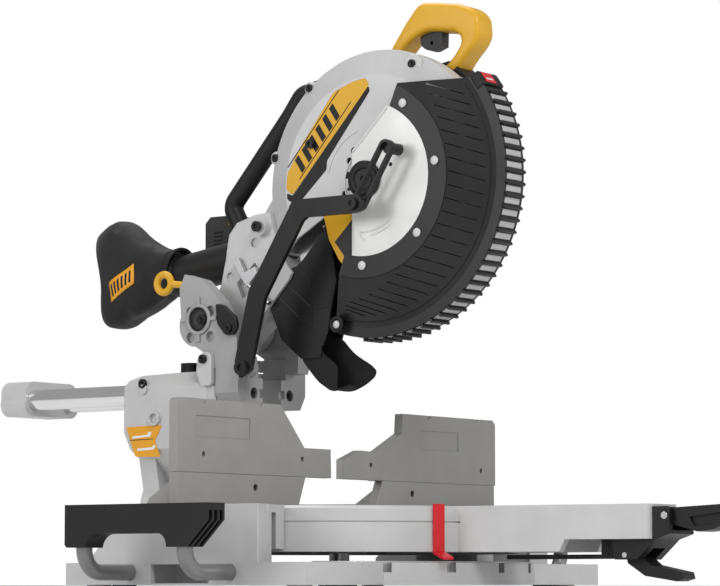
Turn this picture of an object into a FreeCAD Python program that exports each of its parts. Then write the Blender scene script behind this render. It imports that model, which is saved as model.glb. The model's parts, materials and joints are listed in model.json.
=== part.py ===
import FreeCAD, Part
import math
import os
from FreeCAD import Placement, Rotation, Vector

# Sliding compound miter saw, in millimetres. X runs right along the fence, Y runs back, Z runs up.
# The origin is on the miter axis, at the bench surface, in the plane of the blade and of the fence faces.

doc = FreeCAD.newDocument("MiterSaw")
sheet = doc.addObject("Spreadsheet::Sheet", "dim")

DIMENSIONS = {
    "table_top": 95, "flange_low": 6, "flange_top": 31, "flange_half": 296, "flange_front": 176,
    "flange_back": 168, "bench_hole_x": 265, "bench_hole_y": 145, "bench_hole_radius": 4.5,
    "table_radius": 222, "table_low": 43, "ring_radius": 232, "table_play": 4, "kerf_half": 14,
    "kerf_front": 345, "kerf_back": 20, "carry_x": 373, "carry_y": 72, "tube_radius": 9,
    "bend_radius": 26, "fence_thick": 12, "bevel_front": 139, "bevel_back": 278, "bevel_flange": 236,
    "rail_z": 240, "rail_radius": 13, "rail_front": 112, "rail_back": 490, "pivot_y": 161,
    "pivot_z": 320, "pivot_radius": 8, "arbor_y": -66, "arbor_z": 482, "blade_radius": 152.5,
    "blade_thick": 2.6, "arbor_radius": 15, "guard_radius": 157.5, "guard_half": 28, "rim_radius": 186,
    "cheek_radius": 91, "cheek_hole": 22.3, "cheek_x": -38, "cheek_thick": 2.5, "handle_x": 41,
    "handle_wide": 34, "loop_radius": 12, "motor_y": -15, "motor_z": 505, "motor_radius": 42,
    "motor_start": 60.3, "motor_long": 92, "battery_x": 91, "battery_wide": 75, "duct_radius": 24,
    "link_x": -74, "link_thick": 6, "link_y": 89, "link_z": 264, "fit": 0.05,
}
for row, (alias, value) in enumerate(DIMENSIONS.items(), start=1):
    sheet.set(f"A{row}", alias)
    sheet.set(f"B{row}", str(value))
    sheet.setAlias(f"B{row}", alias)
doc.recompute()


def size(alias):
    """The value of one named cell of the sheet."""
    return float(getattr(sheet, alias))


NODES = {}
SIDES = {"left": -1, "right": 1}


def bind(item, prop, rule):
    """Give a property a number, or bind it to the sheet when the rule is text."""
    if isinstance(rule, str):
        item.setExpression(prop, rule)
    else:
        setattr(item, prop, rule)


def block(low, high):
    """A box from its low corner to its high corner."""
    item = doc.addObject("Part::Box", "Block")
    for prop, near, far in zip(("Length", "Width", "Height"), low, high):
        bind(item, prop, f"({far}) - ({near})")
    item.Placement = Placement()
    for letter, near in zip("xyz", low):
        item.setExpression(f".Placement.Base.{letter}", str(near))
    return item


TURNS = {"X": Rotation(Vector(0, 1, 0), 90), "Y": Rotation(Vector(1, 0, 0), -90), "Z": Rotation()}


def rod(radius, length, start, along="Z", hole=None):
    """A round bar or, with a hole, a tube, from its start point along an axis or a vector."""
    item = doc.addObject("Part::Cylinder", "Rod")
    bind(item, "Radius", radius)
    bind(item, "Height", length)
    turn = TURNS[along] if isinstance(along, str) else Rotation(Vector(0, 0, 1), Vector(*along))
    item.Placement = Placement(Vector(), turn)
    for letter, value in zip("xyz", start):
        item.setExpression(f".Placement.Base.{letter}", str(value))
    if hole is None:
        return item
    return cut(item, rod(hole, length, start, along))


def fuse(*items):
    """The items joined into one."""
    joined = doc.addObject("Part::MultiFuse", "Fuse")
    joined.Shapes = list(items)
    joined.Refine = True
    return joined


def cut(base, *tools):
    """The base with every tool taken away."""
    result = doc.addObject("Part::Cut", "Cut")
    result.Base = base
    result.Tool = tools[0] if len(tools) == 1 else group(*tools)
    return result


def common(one, other):
    """The part that both items share."""
    result = doc.addObject("Part::Common", "Common")
    result.Base = one
    result.Tool = other
    return result


def group(*items):
    """Items kept apart in one compound."""
    pack = doc.addObject("Part::Compound", "Group")
    pack.Links = list(items)
    return pack


def free(shape):
    """A shape worked out with Part's own functions, for sweeps and coils."""
    item = doc.addObject("Part::Feature", "Free")
    item.Shape = shape
    item.Placement = shape.Placement
    return item


def add_outline(sketch, points):
    """Lines through the points; an entry made of two points is an arc through the first to the second."""
    corner = points[0]
    for step in points[1:] + [points[0]]:
        if isinstance(step[0], tuple):
            middle, end = step
            trio = [Vector(*corner, 0), Vector(*middle, 0), Vector(*end, 0)]
            sketch.addGeometry(Part.Arc(*trio), False)
        else:
            end = step
            if math.dist(corner, end) > 1e-6:
                sketch.addGeometry(Part.LineSegment(Vector(*corner, 0), Vector(*end, 0)), False)
        corner = end


def plate(plane, points, start, thick, holes=()):
    """A padded sketch on XY, XZ or YZ, from start for its thickness along +Z, +Y or +X."""
    body = doc.addObject("PartDesign::Body", "Plate")
    sketch = body.newObject("Sketcher::SketchObject", "Outline")
    role = plane + "_Plane"
    planes = [item for item in body.Origin.OriginFeatures if item.Role == role]
    sketch.AttachmentSupport = [(planes[0], "")]
    sketch.MapMode = "FlatFace"
    add_outline(sketch, points)
    for across, up, radius in holes:
        sketch.addGeometry(Part.Circle(Vector(across, up, 0), Vector(0, 0, 1), radius), False)
    pad = body.newObject("PartDesign::Pad", "Pad")
    pad.Profile = sketch
    bind(pad, "Length", thick)
    pad.Reversed = plane == "XZ"
    body.Placement = Placement()
    letter = {"XY": "z", "XZ": "y", "YZ": "x"}[plane]
    body.setExpression(f".Placement.Base.{letter}", str(start))
    return body


def turned(points, sweep, begin, centre):
    """A profile of (x, radius) points turned about an X axis through centre, from begin for sweep degrees.

    Angles run from the front (0) over the top (90) to the rear (180)."""
    wire = Part.makePolygon([Vector(x, -radius, 0) for x, radius in points + points[:1]])
    solid = Part.Face(wire).revolve(Vector(), Vector(-1, 0, 0), sweep)
    solid = Part.makeSolid(solid.Shells[0]) if solid.ShapeType != "Solid" else solid
    solid.rotate(Vector(), Vector(-1, 0, 0), begin)
    solid.translate(Vector(0, *centre))
    return free(solid)


def polar(radius, degrees, centre):
    """The (y, z) point at a radius and an angle from the front over the top of a centre."""
    angle = math.radians(degrees)
    return centre[0] - radius * math.cos(angle), centre[1] + radius * math.sin(angle)


def bent_tube(corners, radius, bend):
    """A round bar along straight runs joined by tangent arcs."""
    points = [Vector(*corner) for corner in corners]
    edges = []
    last = points[0]
    for before, here, after in zip(points, points[1:], points[2:]):
        inward = (before - here).normalize()
        outward = (after - here).normalize()
        half = inward.getAngle(outward) / 2
        reach = bend / math.tan(half)
        begin = here + inward * reach
        finish = here + outward * reach
        bisector = (inward + outward).normalize()
        middle = here + bisector * (bend / math.sin(half) - bend)
        edges.append(Part.LineSegment(last, begin).toShape())
        edges.append(Part.Arc(begin, middle, finish).toShape())
        last = finish
    edges.append(Part.LineSegment(last, points[-1]).toShape())
    path = Part.Wire(edges)
    ring = Part.Wire(Part.makeCircle(radius, points[0], points[1] - points[0]))
    return path.makePipeShell([ring], True, False)


def node(label, item):
    item.Label = label
    NODES[label] = item
    return item


def screws(places, radius, head_radius, head, shank, along="Z"):
    """Cap screws: each is a shank and a socketed head at its far end."""
    made = []
    axis = {"X": Vector(1, 0, 0), "Y": Vector(0, 1, 0), "Z": Vector(0, 0, 1)}[along.strip("-")]
    axis = -axis if along.startswith("-") else axis
    for place in places:
        base = Vector(*place)
        shape = Part.makeCylinder(radius, shank, base, axis)
        shape = shape.fuse(Part.makeCylinder(head_radius, head, base + axis * shank, axis))
        socket = Part.makeCylinder(head_radius * 0.5, head * 0.6, base + axis * (shank + head * 0.45), axis)
        made.append(shape.cut(socket).removeSplitter())
    return free(Part.makeCompound(made))


ARBOR = (size("arbor_y"), size("arbor_z"))
PIVOT = (size("pivot_y"), size("pivot_z"))
TABLE = size("table_top")


def make_base():
    """Bench flange, two hollow wings, and the round well that the turntable sits in."""
    flange = block(("-dim.flange_half", "-dim.flange_front", "dim.flange_low"),
                   ("dim.flange_half", "dim.flange_back", "dim.flange_top"))
    nose = rod("dim.ring_radius", "dim.flange_top - dim.flange_low", (0, 0, "dim.flange_low"))
    half = size("flange_half")
    wing_side = [(-111, 31), (-111, TABLE), (76, TABLE), (127, 40), (127, 31)]
    wings = [plate("YZ", wing_side, -half, 110), plate("YZ", wing_side, half - 110, 110)]
    casting = fuse(flange, nose, *wings)
    well = rod("dim.table_radius + dim.table_play", 200, (0, 0, "dim.flange_top + 0.01"))
    rear = plate("XY", [(-275, 46), (0, 46), (275, 46), ((0, 275), (-275, 46))], 31.01, 90)
    left_front = plate("XY", [(-210, -81), (-300, -113), (-300, -140), (-180, -140)], 31.01, 90)
    right_front = plate("XY", [(215, -43), (300, -105), (300, -140), (180, -140)], 31.01, 90)
    holes = [rod("dim.bench_hole_radius", 60, (side * size("bench_hole_x"), end * size("bench_hole_y"), -5))
             for side in (-1, 1) for end in (-1, 1)]
    ear_pockets = [block((side * 265 - 24, end * 145 - 20, 16), (side * 265 + 24, end * 145 + 20, 32))
                   for side in (-1, 1) for end in (-1, 1)]
    hollows = [block((-288, -96, 5), (-238, 52, 86)), block((238, -88, 5), (288, 52, 86)),
               rod(205, 19, (0, 0, 5))]
    pockets = []
    for degrees in range(-60, 61, 20):
        turn = math.radians(degrees)
        pockets.append(rod(9, 12, (225 * math.sin(turn), -225 * math.cos(turn), 20)))
    sockets = [rod("dim.tube_radius + dim.fit", 46, (side * 296 - (0 if side < 0 else 46), end * 72, 20),
                   "X")
               for side in (-1, 1) for end in (-1, 1)]
    side_caves = [block((side * 290 - 12, -42, 8), (side * 290 + 12, 42, 29)) for side in (-1, 1)]
    pivot = rod(12.05, 60, (0, 0, 0))
    notch = block((-270, -114, 88), (-255, -100, 100))
    pointer_room = block((-250, -112, 31.01), (-190, -40, 46))
    pads = [rod(14, 7, (side * 265, end * 145, 0)) for side in (-1, 1) for end in (-1, 1)]
    node("base_casting", cut(fuse(casting, *pads), well, rear, left_front, right_front, *holes,
                             *ear_pockets, *hollows,
                             *pockets, *sockets, *side_caves, pivot, notch, pointer_room))

    arc = plate("XY", [(-200, -112), ((0, -229.3), (200, -112)), (193, -108), ((0, -221.2), (-193, -108))],
                31, 1.8)
    slots = [rod(2.5, 10, (225 * math.sin(math.radians(a)), -225 * math.cos(math.radians(a)), 28))
             for a in (-50, -45, -31.6, -22.5, -15, 0, 15, 22.5, 31.6, 45, 50)]
    node("miter_detent_ring", cut(arc, *slots))
    feet = [rod(14, 6, (side * 215, end * 150, 0)) for side in (-1, 1) for end in (-1, 1)]
    node("rubber_feet", group(*feet))


def make_carry_handles():
    """A bent steel tube with a moulded grip at each end of the base."""
    tubes = []
    grips = []
    for side in SIDES.values():
        x = side * size("carry_x")
        inner = side * 258
        y = size("carry_y")
        route = [(inner, y, 20), (x, y, 20), (x, y, 73), (x, -y, 73), (x, -y, 20), (inner, -y, 20)]
        tubes.append(free(bent_tube(route, size("tube_radius"), size("bend_radius"))))
        outline = [(-115, 94), (88, 94), (88, 50), (85, 47), (58, 47), ((52, 58), (42, 62)), (-40, 62),
                   ((-54, 58), (-58, 47)), (-85, 47), (-115, 76)]
        grip = plate("YZ", outline, x - 15, 30)
        ribs = [plate("YZ", [(-116, 86), (-112, 86), (-84, 52), (-84, 44), (-116, 44)], x + shift - 2.5, 5)
                for shift in (-9, 0, 9)]
        fat = free(bent_tube(route, size("tube_radius") + size("fit"), size("bend_radius")))
        grips.append(cut(grip, fat, *ribs))
    node("carry_tubes", group(*tubes))
    node("carry_grips", group(*grips))


def make_fences():
    """Fixed fence casting with its rear bridge, and the two sliding fences with clamp knobs."""
    low = TABLE + 0.4
    left = [(-300, low), (-80, low), (-66, 131.7), (-300, 131.7)]
    right = [(72, low), (329, low), (329, 131.7), (88, 131.7)]
    walls = [plate("XZ", left, 0, "dim.fence_thick"), plate("XZ", right, 0, "dim.fence_thick")]
    ribs = [plate("YZ", [(11, low), (52, low), (48, 103), (11, 126)], x, 6) for x in (-292, -190, -100, 94,
                                                                                      190, 290)]
    shelf = plate("XY", [(-292, 10), (-72, 10), (-62, 40), ((0, 96), (62, 40)), (72, 10), (300, 10), (300,
                                                                                                      44),
                         (100, 44), ((0, 122), (-100, 44)), (-292, 44)], low, 8)
    bolt_at = [(-280, 34), (-240, 34), (240, 34), (280, 34)]
    holes = [rod(3.1, 30, (x, y, 90)) for x, y in bolt_at]
    knob_at = {"left": -160, "right": 150}
    knob_z = 117.5
    knob_holes = [rod(4.1, 40, (x, -10, knob_z), "Y") for x in knob_at.values()]
    casting = cut(fuse(*walls, *ribs, shelf), *holes, *knob_holes)
    node("fence_casting", casting)
    bolts = screws([(x, y, 97) for x, y in bolt_at], 3, 5.5, 5, 6.5)
    node("base_fasteners", group(bolts, rod(12, 56, (0, 0, 24.2))))

    outlines = {
        "left": [(-300, 132), (-16, 132), (-17, 166), (-68, 166), (-114, 215), (-296, 215), (-300, 211)],
        "right": [(10, 132), (332, 132), (332, 210), (326, 215), (130, 215), (128, 191), (76, 166), (43,
                                                                                                     167),
                  (10, 155)],
    }
    panels = {"left": (-268, -170), "right": (166, 250)}
    marks = {"left": [(-254, 153, 3), (-72, 153, 3)], "right": [(64, 150, 3), (300, 150, 3)]}
    notches = {"left": (-252, -150), "right": (185, 290)}
    for name in SIDES:
        wall = plate("XZ", outlines[name], 0, "dim.fence_thick", marks[name])
        first, last = panels[name]
        recess = block((first, -1, 172), (last, 1.2, 196))
        tops = [rod(5, 4, (x, -1, 215), "Y") for x in notches[name]]
        foot = block((knob_at[name] - 60, 12, 132), (knob_at[name] + 60, 24, 138))
        node(f"{name}_sliding_fence", fuse(cut(wall, recess, *tops), foot))
        head = rod(13, 14, (knob_at[name], 24.5, knob_z), "Y")
        flutes = [rod(3, 20, (knob_at[name] + 14.5 * math.cos(a), 22, knob_z + 14.5 * math.sin(a)), "Y")
                  for a in (k * math.pi / 3 for k in range(6))]
        stem = rod(4, 23, (knob_at[name], 2.5, knob_z), "Y")
        node(f"{name}_fence_knob", fuse(cut(head, *flutes), stem))


def make_turntable():
    """Round table with its arm, the kerf plates, the pointer and the rear trunnion of the bevel pivot."""
    radius = size("table_radius")
    disc = rod("dim.table_radius", "dim.table_top - dim.table_low", (0, 0, "dim.table_low"))
    rim = doc.addObject("Part::Chamfer", "Rim")
    doc.recompute()
    rim.Base = disc
    top_edge = max(range(len(disc.Shape.Edges)), key=lambda k: disc.Shape.Edges[k].BoundBox.ZMin)
    rim.Edges = [(top_edge + 1, 3.0, 3.0)]
    arm_top = [(-63, -200), (-52, -283), (-34, -436), ((-29, -446), (-20, -448)), (20, -448),
               ((29, -446), (34, -436)), (52, -283), (63, -200)]
    arm = plate("XY", arm_top, "dim.table_low", "dim.table_top - dim.table_low")
    under = plate("YZ", [(-338, 40), (-346, 56.5), (-460, 56.5), (-460, 40)], -80, 160)
    tail = block((-58, 190, 43), (58, 235, 94.5))
    boss = rod(26, 45, (0, 190, "dim.table_top"), "Y")
    body = fuse(rim, cut(arm, under), tail, boss)
    hollow = cut(rod(212, 48, (0, 0, 40)), rod(32, 60, (0, 0, 38)), block((-60, 150, 30), (60, 240, 99)),
                 block((-54, -215, 30), (54, -190, 99)))
    arm_hollow = plate("XY", [(-46, -232), (-26, -425), (26, -425), (46, -232)], 38, 47)
    kerf = block(("-dim.kerf_half", "-dim.kerf_front", 40), ("dim.kerf_half", "dim.kerf_back", 120))
    ledge = block((-26, -350, 91), (26, 26, 120))
    groove = rod(225, 1.5, (0, 0, 76), hole=220.8)
    bore = rod(10.05, 60, (0, 186, "dim.table_top"), "Y")
    centre = rod(12.05, 80, (0, 0, 20))
    rod_hole = rod(5.3, 60, (0, -400, 62), (0, -1, 0))
    node("turntable_casting", cut(body, rod_hole, hollow, arm_hollow, kerf, ledge, groove, bore, centre))

    plates = []
    for side in (-1, 1):
        near, far = sorted((side * 12, side * 25.8))
        plates.append(block((near, -349.8, 91), (far, 25.8, 95)))
    holes = [rod(2.1, 20, (side * 21, y, 85)) for side in (-1, 1) for y in (-330, -200, -80, 10)]
    node("kerf_plates", group(*[cut(item, *holes) for item in plates]))
    kerf_screws = screws([(side * 21, y, 91.2) for side in (-1, 1) for y in (-330, -200, -80, 10)],
                         1.9, 3.4, 1.4, 2.6)
    pins = [rod(4, 52, (-26, -463, 82), "X"), rod(3, 52, (-26, -412, 39), "X")]
    node("turntable_fasteners", group(kerf_screws, *pins))
    strip = [(-222.3, 97), (-225.3, 97), (-225.3, 44), (-244, 37), (-244, 34.2), (-222.3, 41)]
    pointer = plate("YZ", strip, -7, 14)
    pointer.Placement = Placement(Vector(-7, 0, 0), Rotation(Vector(0, 0, 1), -23), Vector(7, 0, 0))
    node("scale_pointer", pointer)
    shell_side = [(-446, 92), (-466, 92), (-470, 86), (-470, 62), (-452, 56), (-428, 34), (-400, 34),
                  (-396, 56),
                  (-446, 56.2)]
    housing = plate("YZ", shell_side, -26, 52)
    lever_room = plate("YZ", [(-390, 20), (-390, 48), (-440, 48), (-470, 20)], -12.5, 25)
    handle_room = block((-20, -480, 66), (20, -451, 100))
    keep = block((-40, -500, 30), (40, -390, 56.4))
    front = block((-40, -500, 56.3), (40, -448.3, 100))
    rod_room = rod(5.3, 155, (0, -300, 62), (0, -1, 0))
    pin_holes = [rod(4.02, 60, (-30, -463, 82), "X"), rod(3.02, 60, (-30, -412, 39), "X")]
    node("latch_housing", cut(common(housing, fuse(keep, front)), lever_room, handle_room, rod_room,
                              *pin_holes))


def make_miter_controls():
    """Lock handle at the tip, the rod it pushes, and the spring-loaded detent lever."""
    grip = plate("YZ", [(-456, 90), (-540, 94), ((-549, 93), (-550, 84)), (-548, 78), (-520, 66), (-500,
                                                                                                   64),
                        (-478, 70), (-456, 74)], -18, 36)
    thumb = plate("YZ", [(-490, 80), (-538, 86), (-520, 71), (-496, 70)], -18.5, 4)
    thumb_right = plate("YZ", [(-490, 80), (-538, 86), (-520, 71), (-496, 70)], 14.5, 4)
    eye = rod(4.1, 60, (-30, -463, 82), "X")
    node("miter_lock_handle", cut(grip, thumb, thumb_right, eye))
    clamp = plate("XY", [(-16, -250), (-10, -330), (-10, -380), (10, -380), (10, -330), (16, -250)], 35, 5)
    node("miter_lock_rod", fuse(clamp, rod(5, 76, (0, -370, 62), (0, -1, 0)), block((-6, -380, 37), (6,
                                                                                                     -370,
                                                                                                     64))))
    lever = plate("YZ", [(-404, 44), (-416, 46), (-438, 28), (-478, 20), (-480, 13), (-470, 10), (-430, 16),
                         (-408, 30)], -12, 24)
    node("miter_release_lever", cut(lever, rod(3.05, 40, (-20, -412, 39), "X")))


def make_bevel_head():
    """Upright that tilts about the trunnion and carries the rail bushings."""
    base = TABLE
    front_view = [(-28, base + 32), (28, base + 32), (70, base + 76), (70, base + 152), (52, base + 169),
                  (-52, base + 169), (-70, base + 152), (-70, base + 76)]
    tower = plate("XZ", front_view, "dim.bevel_front", "dim.bevel_back - dim.bevel_front")
    side_view = [(139, 120), (242, 120), (278, 192), (278, 256), (262, 262), (139, 266)]
    top_view = [(-62, 138.9), (62, 138.9), (70, 149), (70, 279), (-70, 279), (-70, 149)]
    upright = common(common(tower, plate("YZ", side_view, -90, 180)), plate("XY", top_view, 90, 200))
    flange = rod(58, 26, (0, "dim.bevel_flange", "dim.table_top"), "Y")
    web = plate("XZ", [(-50, base + 20), (50, base + 20), (60, base + 66), (-60, base + 66)], 236, 26)
    bearing = [rod(17.05, 160, (side * 32, 130, "dim.rail_z"), "Y") for side in (-1, 1)]
    core = block((-58, 158, 196), (58, 250, 222))
    lower_core = block((-34, 150, 142), (34, 226, 190))
    bolt_hole = rod(10.05, 60, (0, 230, "dim.table_top"), "Y")
    slot = rod(6.5, 60, (38, 230, 95), "Y")
    vee = plate("YZ", [(138, 158), (160, 172), (138, 187)], -71, 12)
    rings = [rod(9, 5, (-74, 228, 208), "X"), rod(6, 4, (-73, 246, 244), "X")]
    ring_holes = [rod(6, 8, (-76, 228, 208), "X")]
    button_hole = rod(6.1, 34, (-74, 156, 172), "X")
    body = cut(fuse(upright, web, flange), *bearing, core, lower_core, bolt_hole, slot, vee, button_hole,
               rod(5.05, 60, (0, 228, 250), "Z"))
    node("bevel_housing", fuse(body, *[cut(ring, *ring_holes) for ring in rings]))
    node("bevel_pivot_bolt", fuse(rod(10, 66, (0, 200, "dim.table_top"), "Y"),
                                  rod(17, 8, (0, 262.3, "dim.table_top"), "Y")))
    ends = (141, 232)
    node("rail_bushings", group(*[rod(17, 34, (side * 32, y, "dim.rail_z"), "Y",
                                      "dim.rail_radius + dim.fit")
                                  for side in (-1, 1) for y in ends]))
    lever = plate("XZ", [(30, 88), (38, 86), (46, 88), (88, 128), (84, 134), (76, 132), (34, 102)], 266, 10)
    node("bevel_lock_lever", fuse(lever, rod(6.4, 30, (38, 237, 95), "Y")))
    node("bevel_stop_button", rod(6, 14, (-69, 156, 172), "X"))
    head = rod(14, 12, (0, 228, 267), "Z")
    flutes = [rod(3, 30, (15.5 * math.cos(a), 228 + 15.5 * math.sin(a), 260), "Z")
              for a in (k * math.pi / 3 for k in range(6))]
    node("rail_lock_knob", fuse(cut(head, *flutes), rod(5, 14, (0, 228, 254), "Z")))


def make_carriage():
    """Two rails, their rear cap, and the pivot bracket at the front."""
    node("slide_rails", group(*[rod("dim.rail_radius", "dim.rail_back - dim.rail_front",
                                    (side * 32, "dim.rail_front", "dim.rail_z"), "Y") for side in (-1, 1)]))
    cap = [(-32, 220), (32, 220), ((49, 228), (49, 242)), ((46, 258), (32, 264)), (-32, 264),
           ((-46, 258), (-49, 242)), ((-49, 228), (-32, 220))]
    shell = plate("XZ", cap, 461, 42)
    holes = [rod(13.02, 40, (side * 32, 450, "dim.rail_z"), "Y") for side in (-1, 1)]
    waist = block((-16, 458, 232), (16, 488, 248))
    node("rail_end_cap", cut(shell, *holes, waist, *[rod(3.1, 40, (s * 32, 480, 240), "Y") for s in (-1,
                                                                                                     1)]))
    cap_screws = screws([(side * 32, 491, 240) for side in (-1, 1)], 3, 7, 6, 12.3, "Y")

    lower = plate("XZ", [(-56, 219), (56, 219), (66, 236), (66, 272), (-66, 272), (-66, 236)], 102, 35)
    ear_side = [(102, 266), (150, 266.5), (153, 284), (168, 293), ((190, 306), (191, 330))]
    lobe = [(194, 364), (186, 382), (158, 374)]
    top = [((178, 355), (150, 354))]
    front = [(128, 344), (104, 300)]
    ears = [plate("YZ", ear_side + lobe + front, -66, 18), plate("YZ", ear_side + top + front, 48, 18)]
    seat = plate("XZ", [(-56, 266.5), (56, 266.5), (56, 280), (-56, 280)], 104, 46)
    shaft_hole = rod("dim.pivot_radius + dim.fit", 160, (-80, *PIVOT), "X")
    screw_holes = [rod(7, 9, (side * 35, 101, 236), "Y") for side in (-1, 1)]
    slot = block((-25, 101, 231), (25, 106, 241))
    rails = [rod("dim.rail_radius + 0.02", 40, (side * 32, 111.9, "dim.rail_z"), "Y") for side in (-1, 1)]
    shelf = plate("XZ", [(28, 262), (48, 262), (58, 292), (28, 292)], 84, 20)
    pockets = []
    for degrees in (45, 135, 225, 315):
        y, z = polar(22, degrees, PIVOT)
        pockets.append(rod(6.5, 6, (-67, y, z), "X"))
    lug = plate("YZ", [(89, 252), (110, 252), (110, 276), (89, 276), ((77, 264), (89, 252))], -66, 6)
    spring_room = rod(29, 26, (-47, *PIVOT), "X")
    bracket = cut(fuse(lower, *ears, seat, shelf), shaft_hole, *screw_holes, slot, *rails, *pockets,
                  spring_room,
                  rod(34, 69, (-21, *PIVOT), "X"), block((-40, 99, 292), (47, 110, 360)),
                  block((-18.2, 99, 210), (18.2, 139.5, 300)), block((-27, 99, 254.5), (27, 140, 300)),
                  rod(4.5, 45, (-57, 217, 373), (0, -1, -0.12)))
    node("pivot_bracket", fuse(bracket, cut(lug, rod(5.02, 30, (-80, 89, 264), "X"))))
    adjusters = screws([(side * 35, 109.5, 236) for side in (-1, 1)], 3.5, 6, 4, 1, "-Y")
    link_bolt = screws([(-62, size("link_y"), size("link_z"))], 5, 9, 5, 12.3, "-X")
    node("carriage_screws", group(cap_screws, adjusters, link_bolt))
    node("pivot_shaft", rod("dim.pivot_radius", 130, (-65, *PIVOT), "X"))

    coils = [rod(19.4, 22.5, (-45.5, *PIVOT), "X", hole=18)]
    for turn in range(5):
        coil = doc.addObject("Part::Torus", "Coil")
        coil.Radius1 = 21
        coil.Radius2 = 2.1
        coil.Placement = Placement(Vector(-43.4 + turn * 4.6, *PIVOT), Rotation(Vector(0, 1, 0), 90))
        coils.append(coil)
    node("torsion_spring", fuse(*coils))


def make_lock_pin():
    """Spring-loaded pin with a ring pull that holds the head down."""
    eye = doc.addObject("Part::Torus", "Eye")
    eye.Radius1 = 11
    eye.Radius2 = 4.5
    eye.Placement = Placement(Vector(-57, 226, 374), Rotation(Vector(0, 1, 0), 90))
    stem = rod(4.2, 40, (-57, 217, 373), (0, -1, -0.12))
    node("head_lock_pin", fuse(eye, stem))


def make_arm():
    """Swing arm between the head pivot and the upper guard, with the dust passage through it."""
    outline = [(140, 298), ((163, 286), (186, 306)), (180, 340), (164, 372), (158, 400), (152, 432),
               (140, 446), (112, 454), (88, 456), (60, 446), (20, 436), (60, 372), (100, 330)]
    web = plate("YZ", outline, -22, 45.7)
    hub = rod(27, 66, (-20, *PIVOT), "X")
    shaft_hole = rod("dim.pivot_radius + dim.fit", 200, (-100, *PIVOT), "X")
    guard_room = rod("dim.guard_radius + 0.02", 200, (-100, *ARBOR), "X")
    passage = rod(16, 190, (0, 0, 424), (0, 1, -0.13))
    pockets = [plate("YZ", [(96, 372), (132, 352), (140, 372), (112, 396)], -23, 9)]
    boss = rod(11, 8, (-30, 100, 438), "X")
    body = fuse(cut(web, guard_room, passage, *pockets), hub, cut(boss, rod(4, 20, (-40, 100, 438), "X")))
    node("swing_arm", cut(body, shaft_hole, *[rod(6, 4, (-23, y, z), "X") for y, z in ((112, 420), (150,
                                                                                                    380))]))
    arm_screw = screws([(-28.5, 100, 438)], 3.9, 6.5, 4, 4, "-X")
    guard_screws = screws([(-27, *polar(100, a, ARBOR)) for a in (150, 196)], 3, 5.5, 4, 3, "-X")
    node("head_screws", group(arm_screw, guard_screws))
    depth = rod(3, 46, (-27, 122, 372), (0, -0.8, -0.6))
    wing = fuse(plate("YZ", [(118, 366), (126, 376), (140, 398), (132, 402), (122, 384), (106, 390), (103,
                                                                                                      382)],
                      -30, 6), depth)
    node("depth_stop_screw", wing)


def make_upper_guard():
    """Fixed guard over the blade, from the front top to behind the arbor."""
    outer = size("guard_radius")
    wide = size("guard_half")
    right = 15.5
    section = [(-wide, 24), (-wide, 126), (-14, outer), (10, outer), (right, 150), (right, 24),
               (right - 3, 24), (right - 3, 148), (8.5, outer - 3.5), (-12.5, outer - 3.5), (-wide + 3,
                                                                                             124),
               (-wide + 3, 24)]
    shell = turned(section, 169, 41, ARBOR)
    crown = plate("YZ", [(-30, 617), (-40, 622), (-92, 621), (-128, 612), (-134, 598), (-62, 602)], -14, 28)
    crown = cut(crown, rod(outer - 3.6, 60, (-30, *ARBOR), "X"))
    rear = plate("YZ", [(60, 488), (66, 458), (50, 430), (30, 430), (30, 520)], -28.5, 3.4)
    holes = [rod(r, 12, (-34, *polar(40, a, ARBOR)), "X") for r, a in ((4, 60), (4, 140), (4, 200))]
    low_rear = plate("YZ", [(-66, 470), (-66, 376), (-36, 373), (-21, 390), (-6, 415), (0, 438), (4, 462),
                            (4, 476)],
                     -28, 3)
    low_rear = cut(low_rear, rod(23, 20, (-35, *ARBOR), "X"))
    node("upper_guard", cut(fuse(shell, crown, low_rear, cut(rear, rod(150, 60, (-50, *ARBOR), "X"))),
                            *holes))
    hub = rod(22, 17, (-42, *ARBOR), "X")
    node("guard_hub", cut(hub, rod(4, 6, (-43, *ARBOR), "X"), rod(2, 6, (-43, *polar(13, 20, ARBOR)), "X"),
                          rod("dim.arbor_radius + 1", 20, (-34, *ARBOR), "X")))


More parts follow.
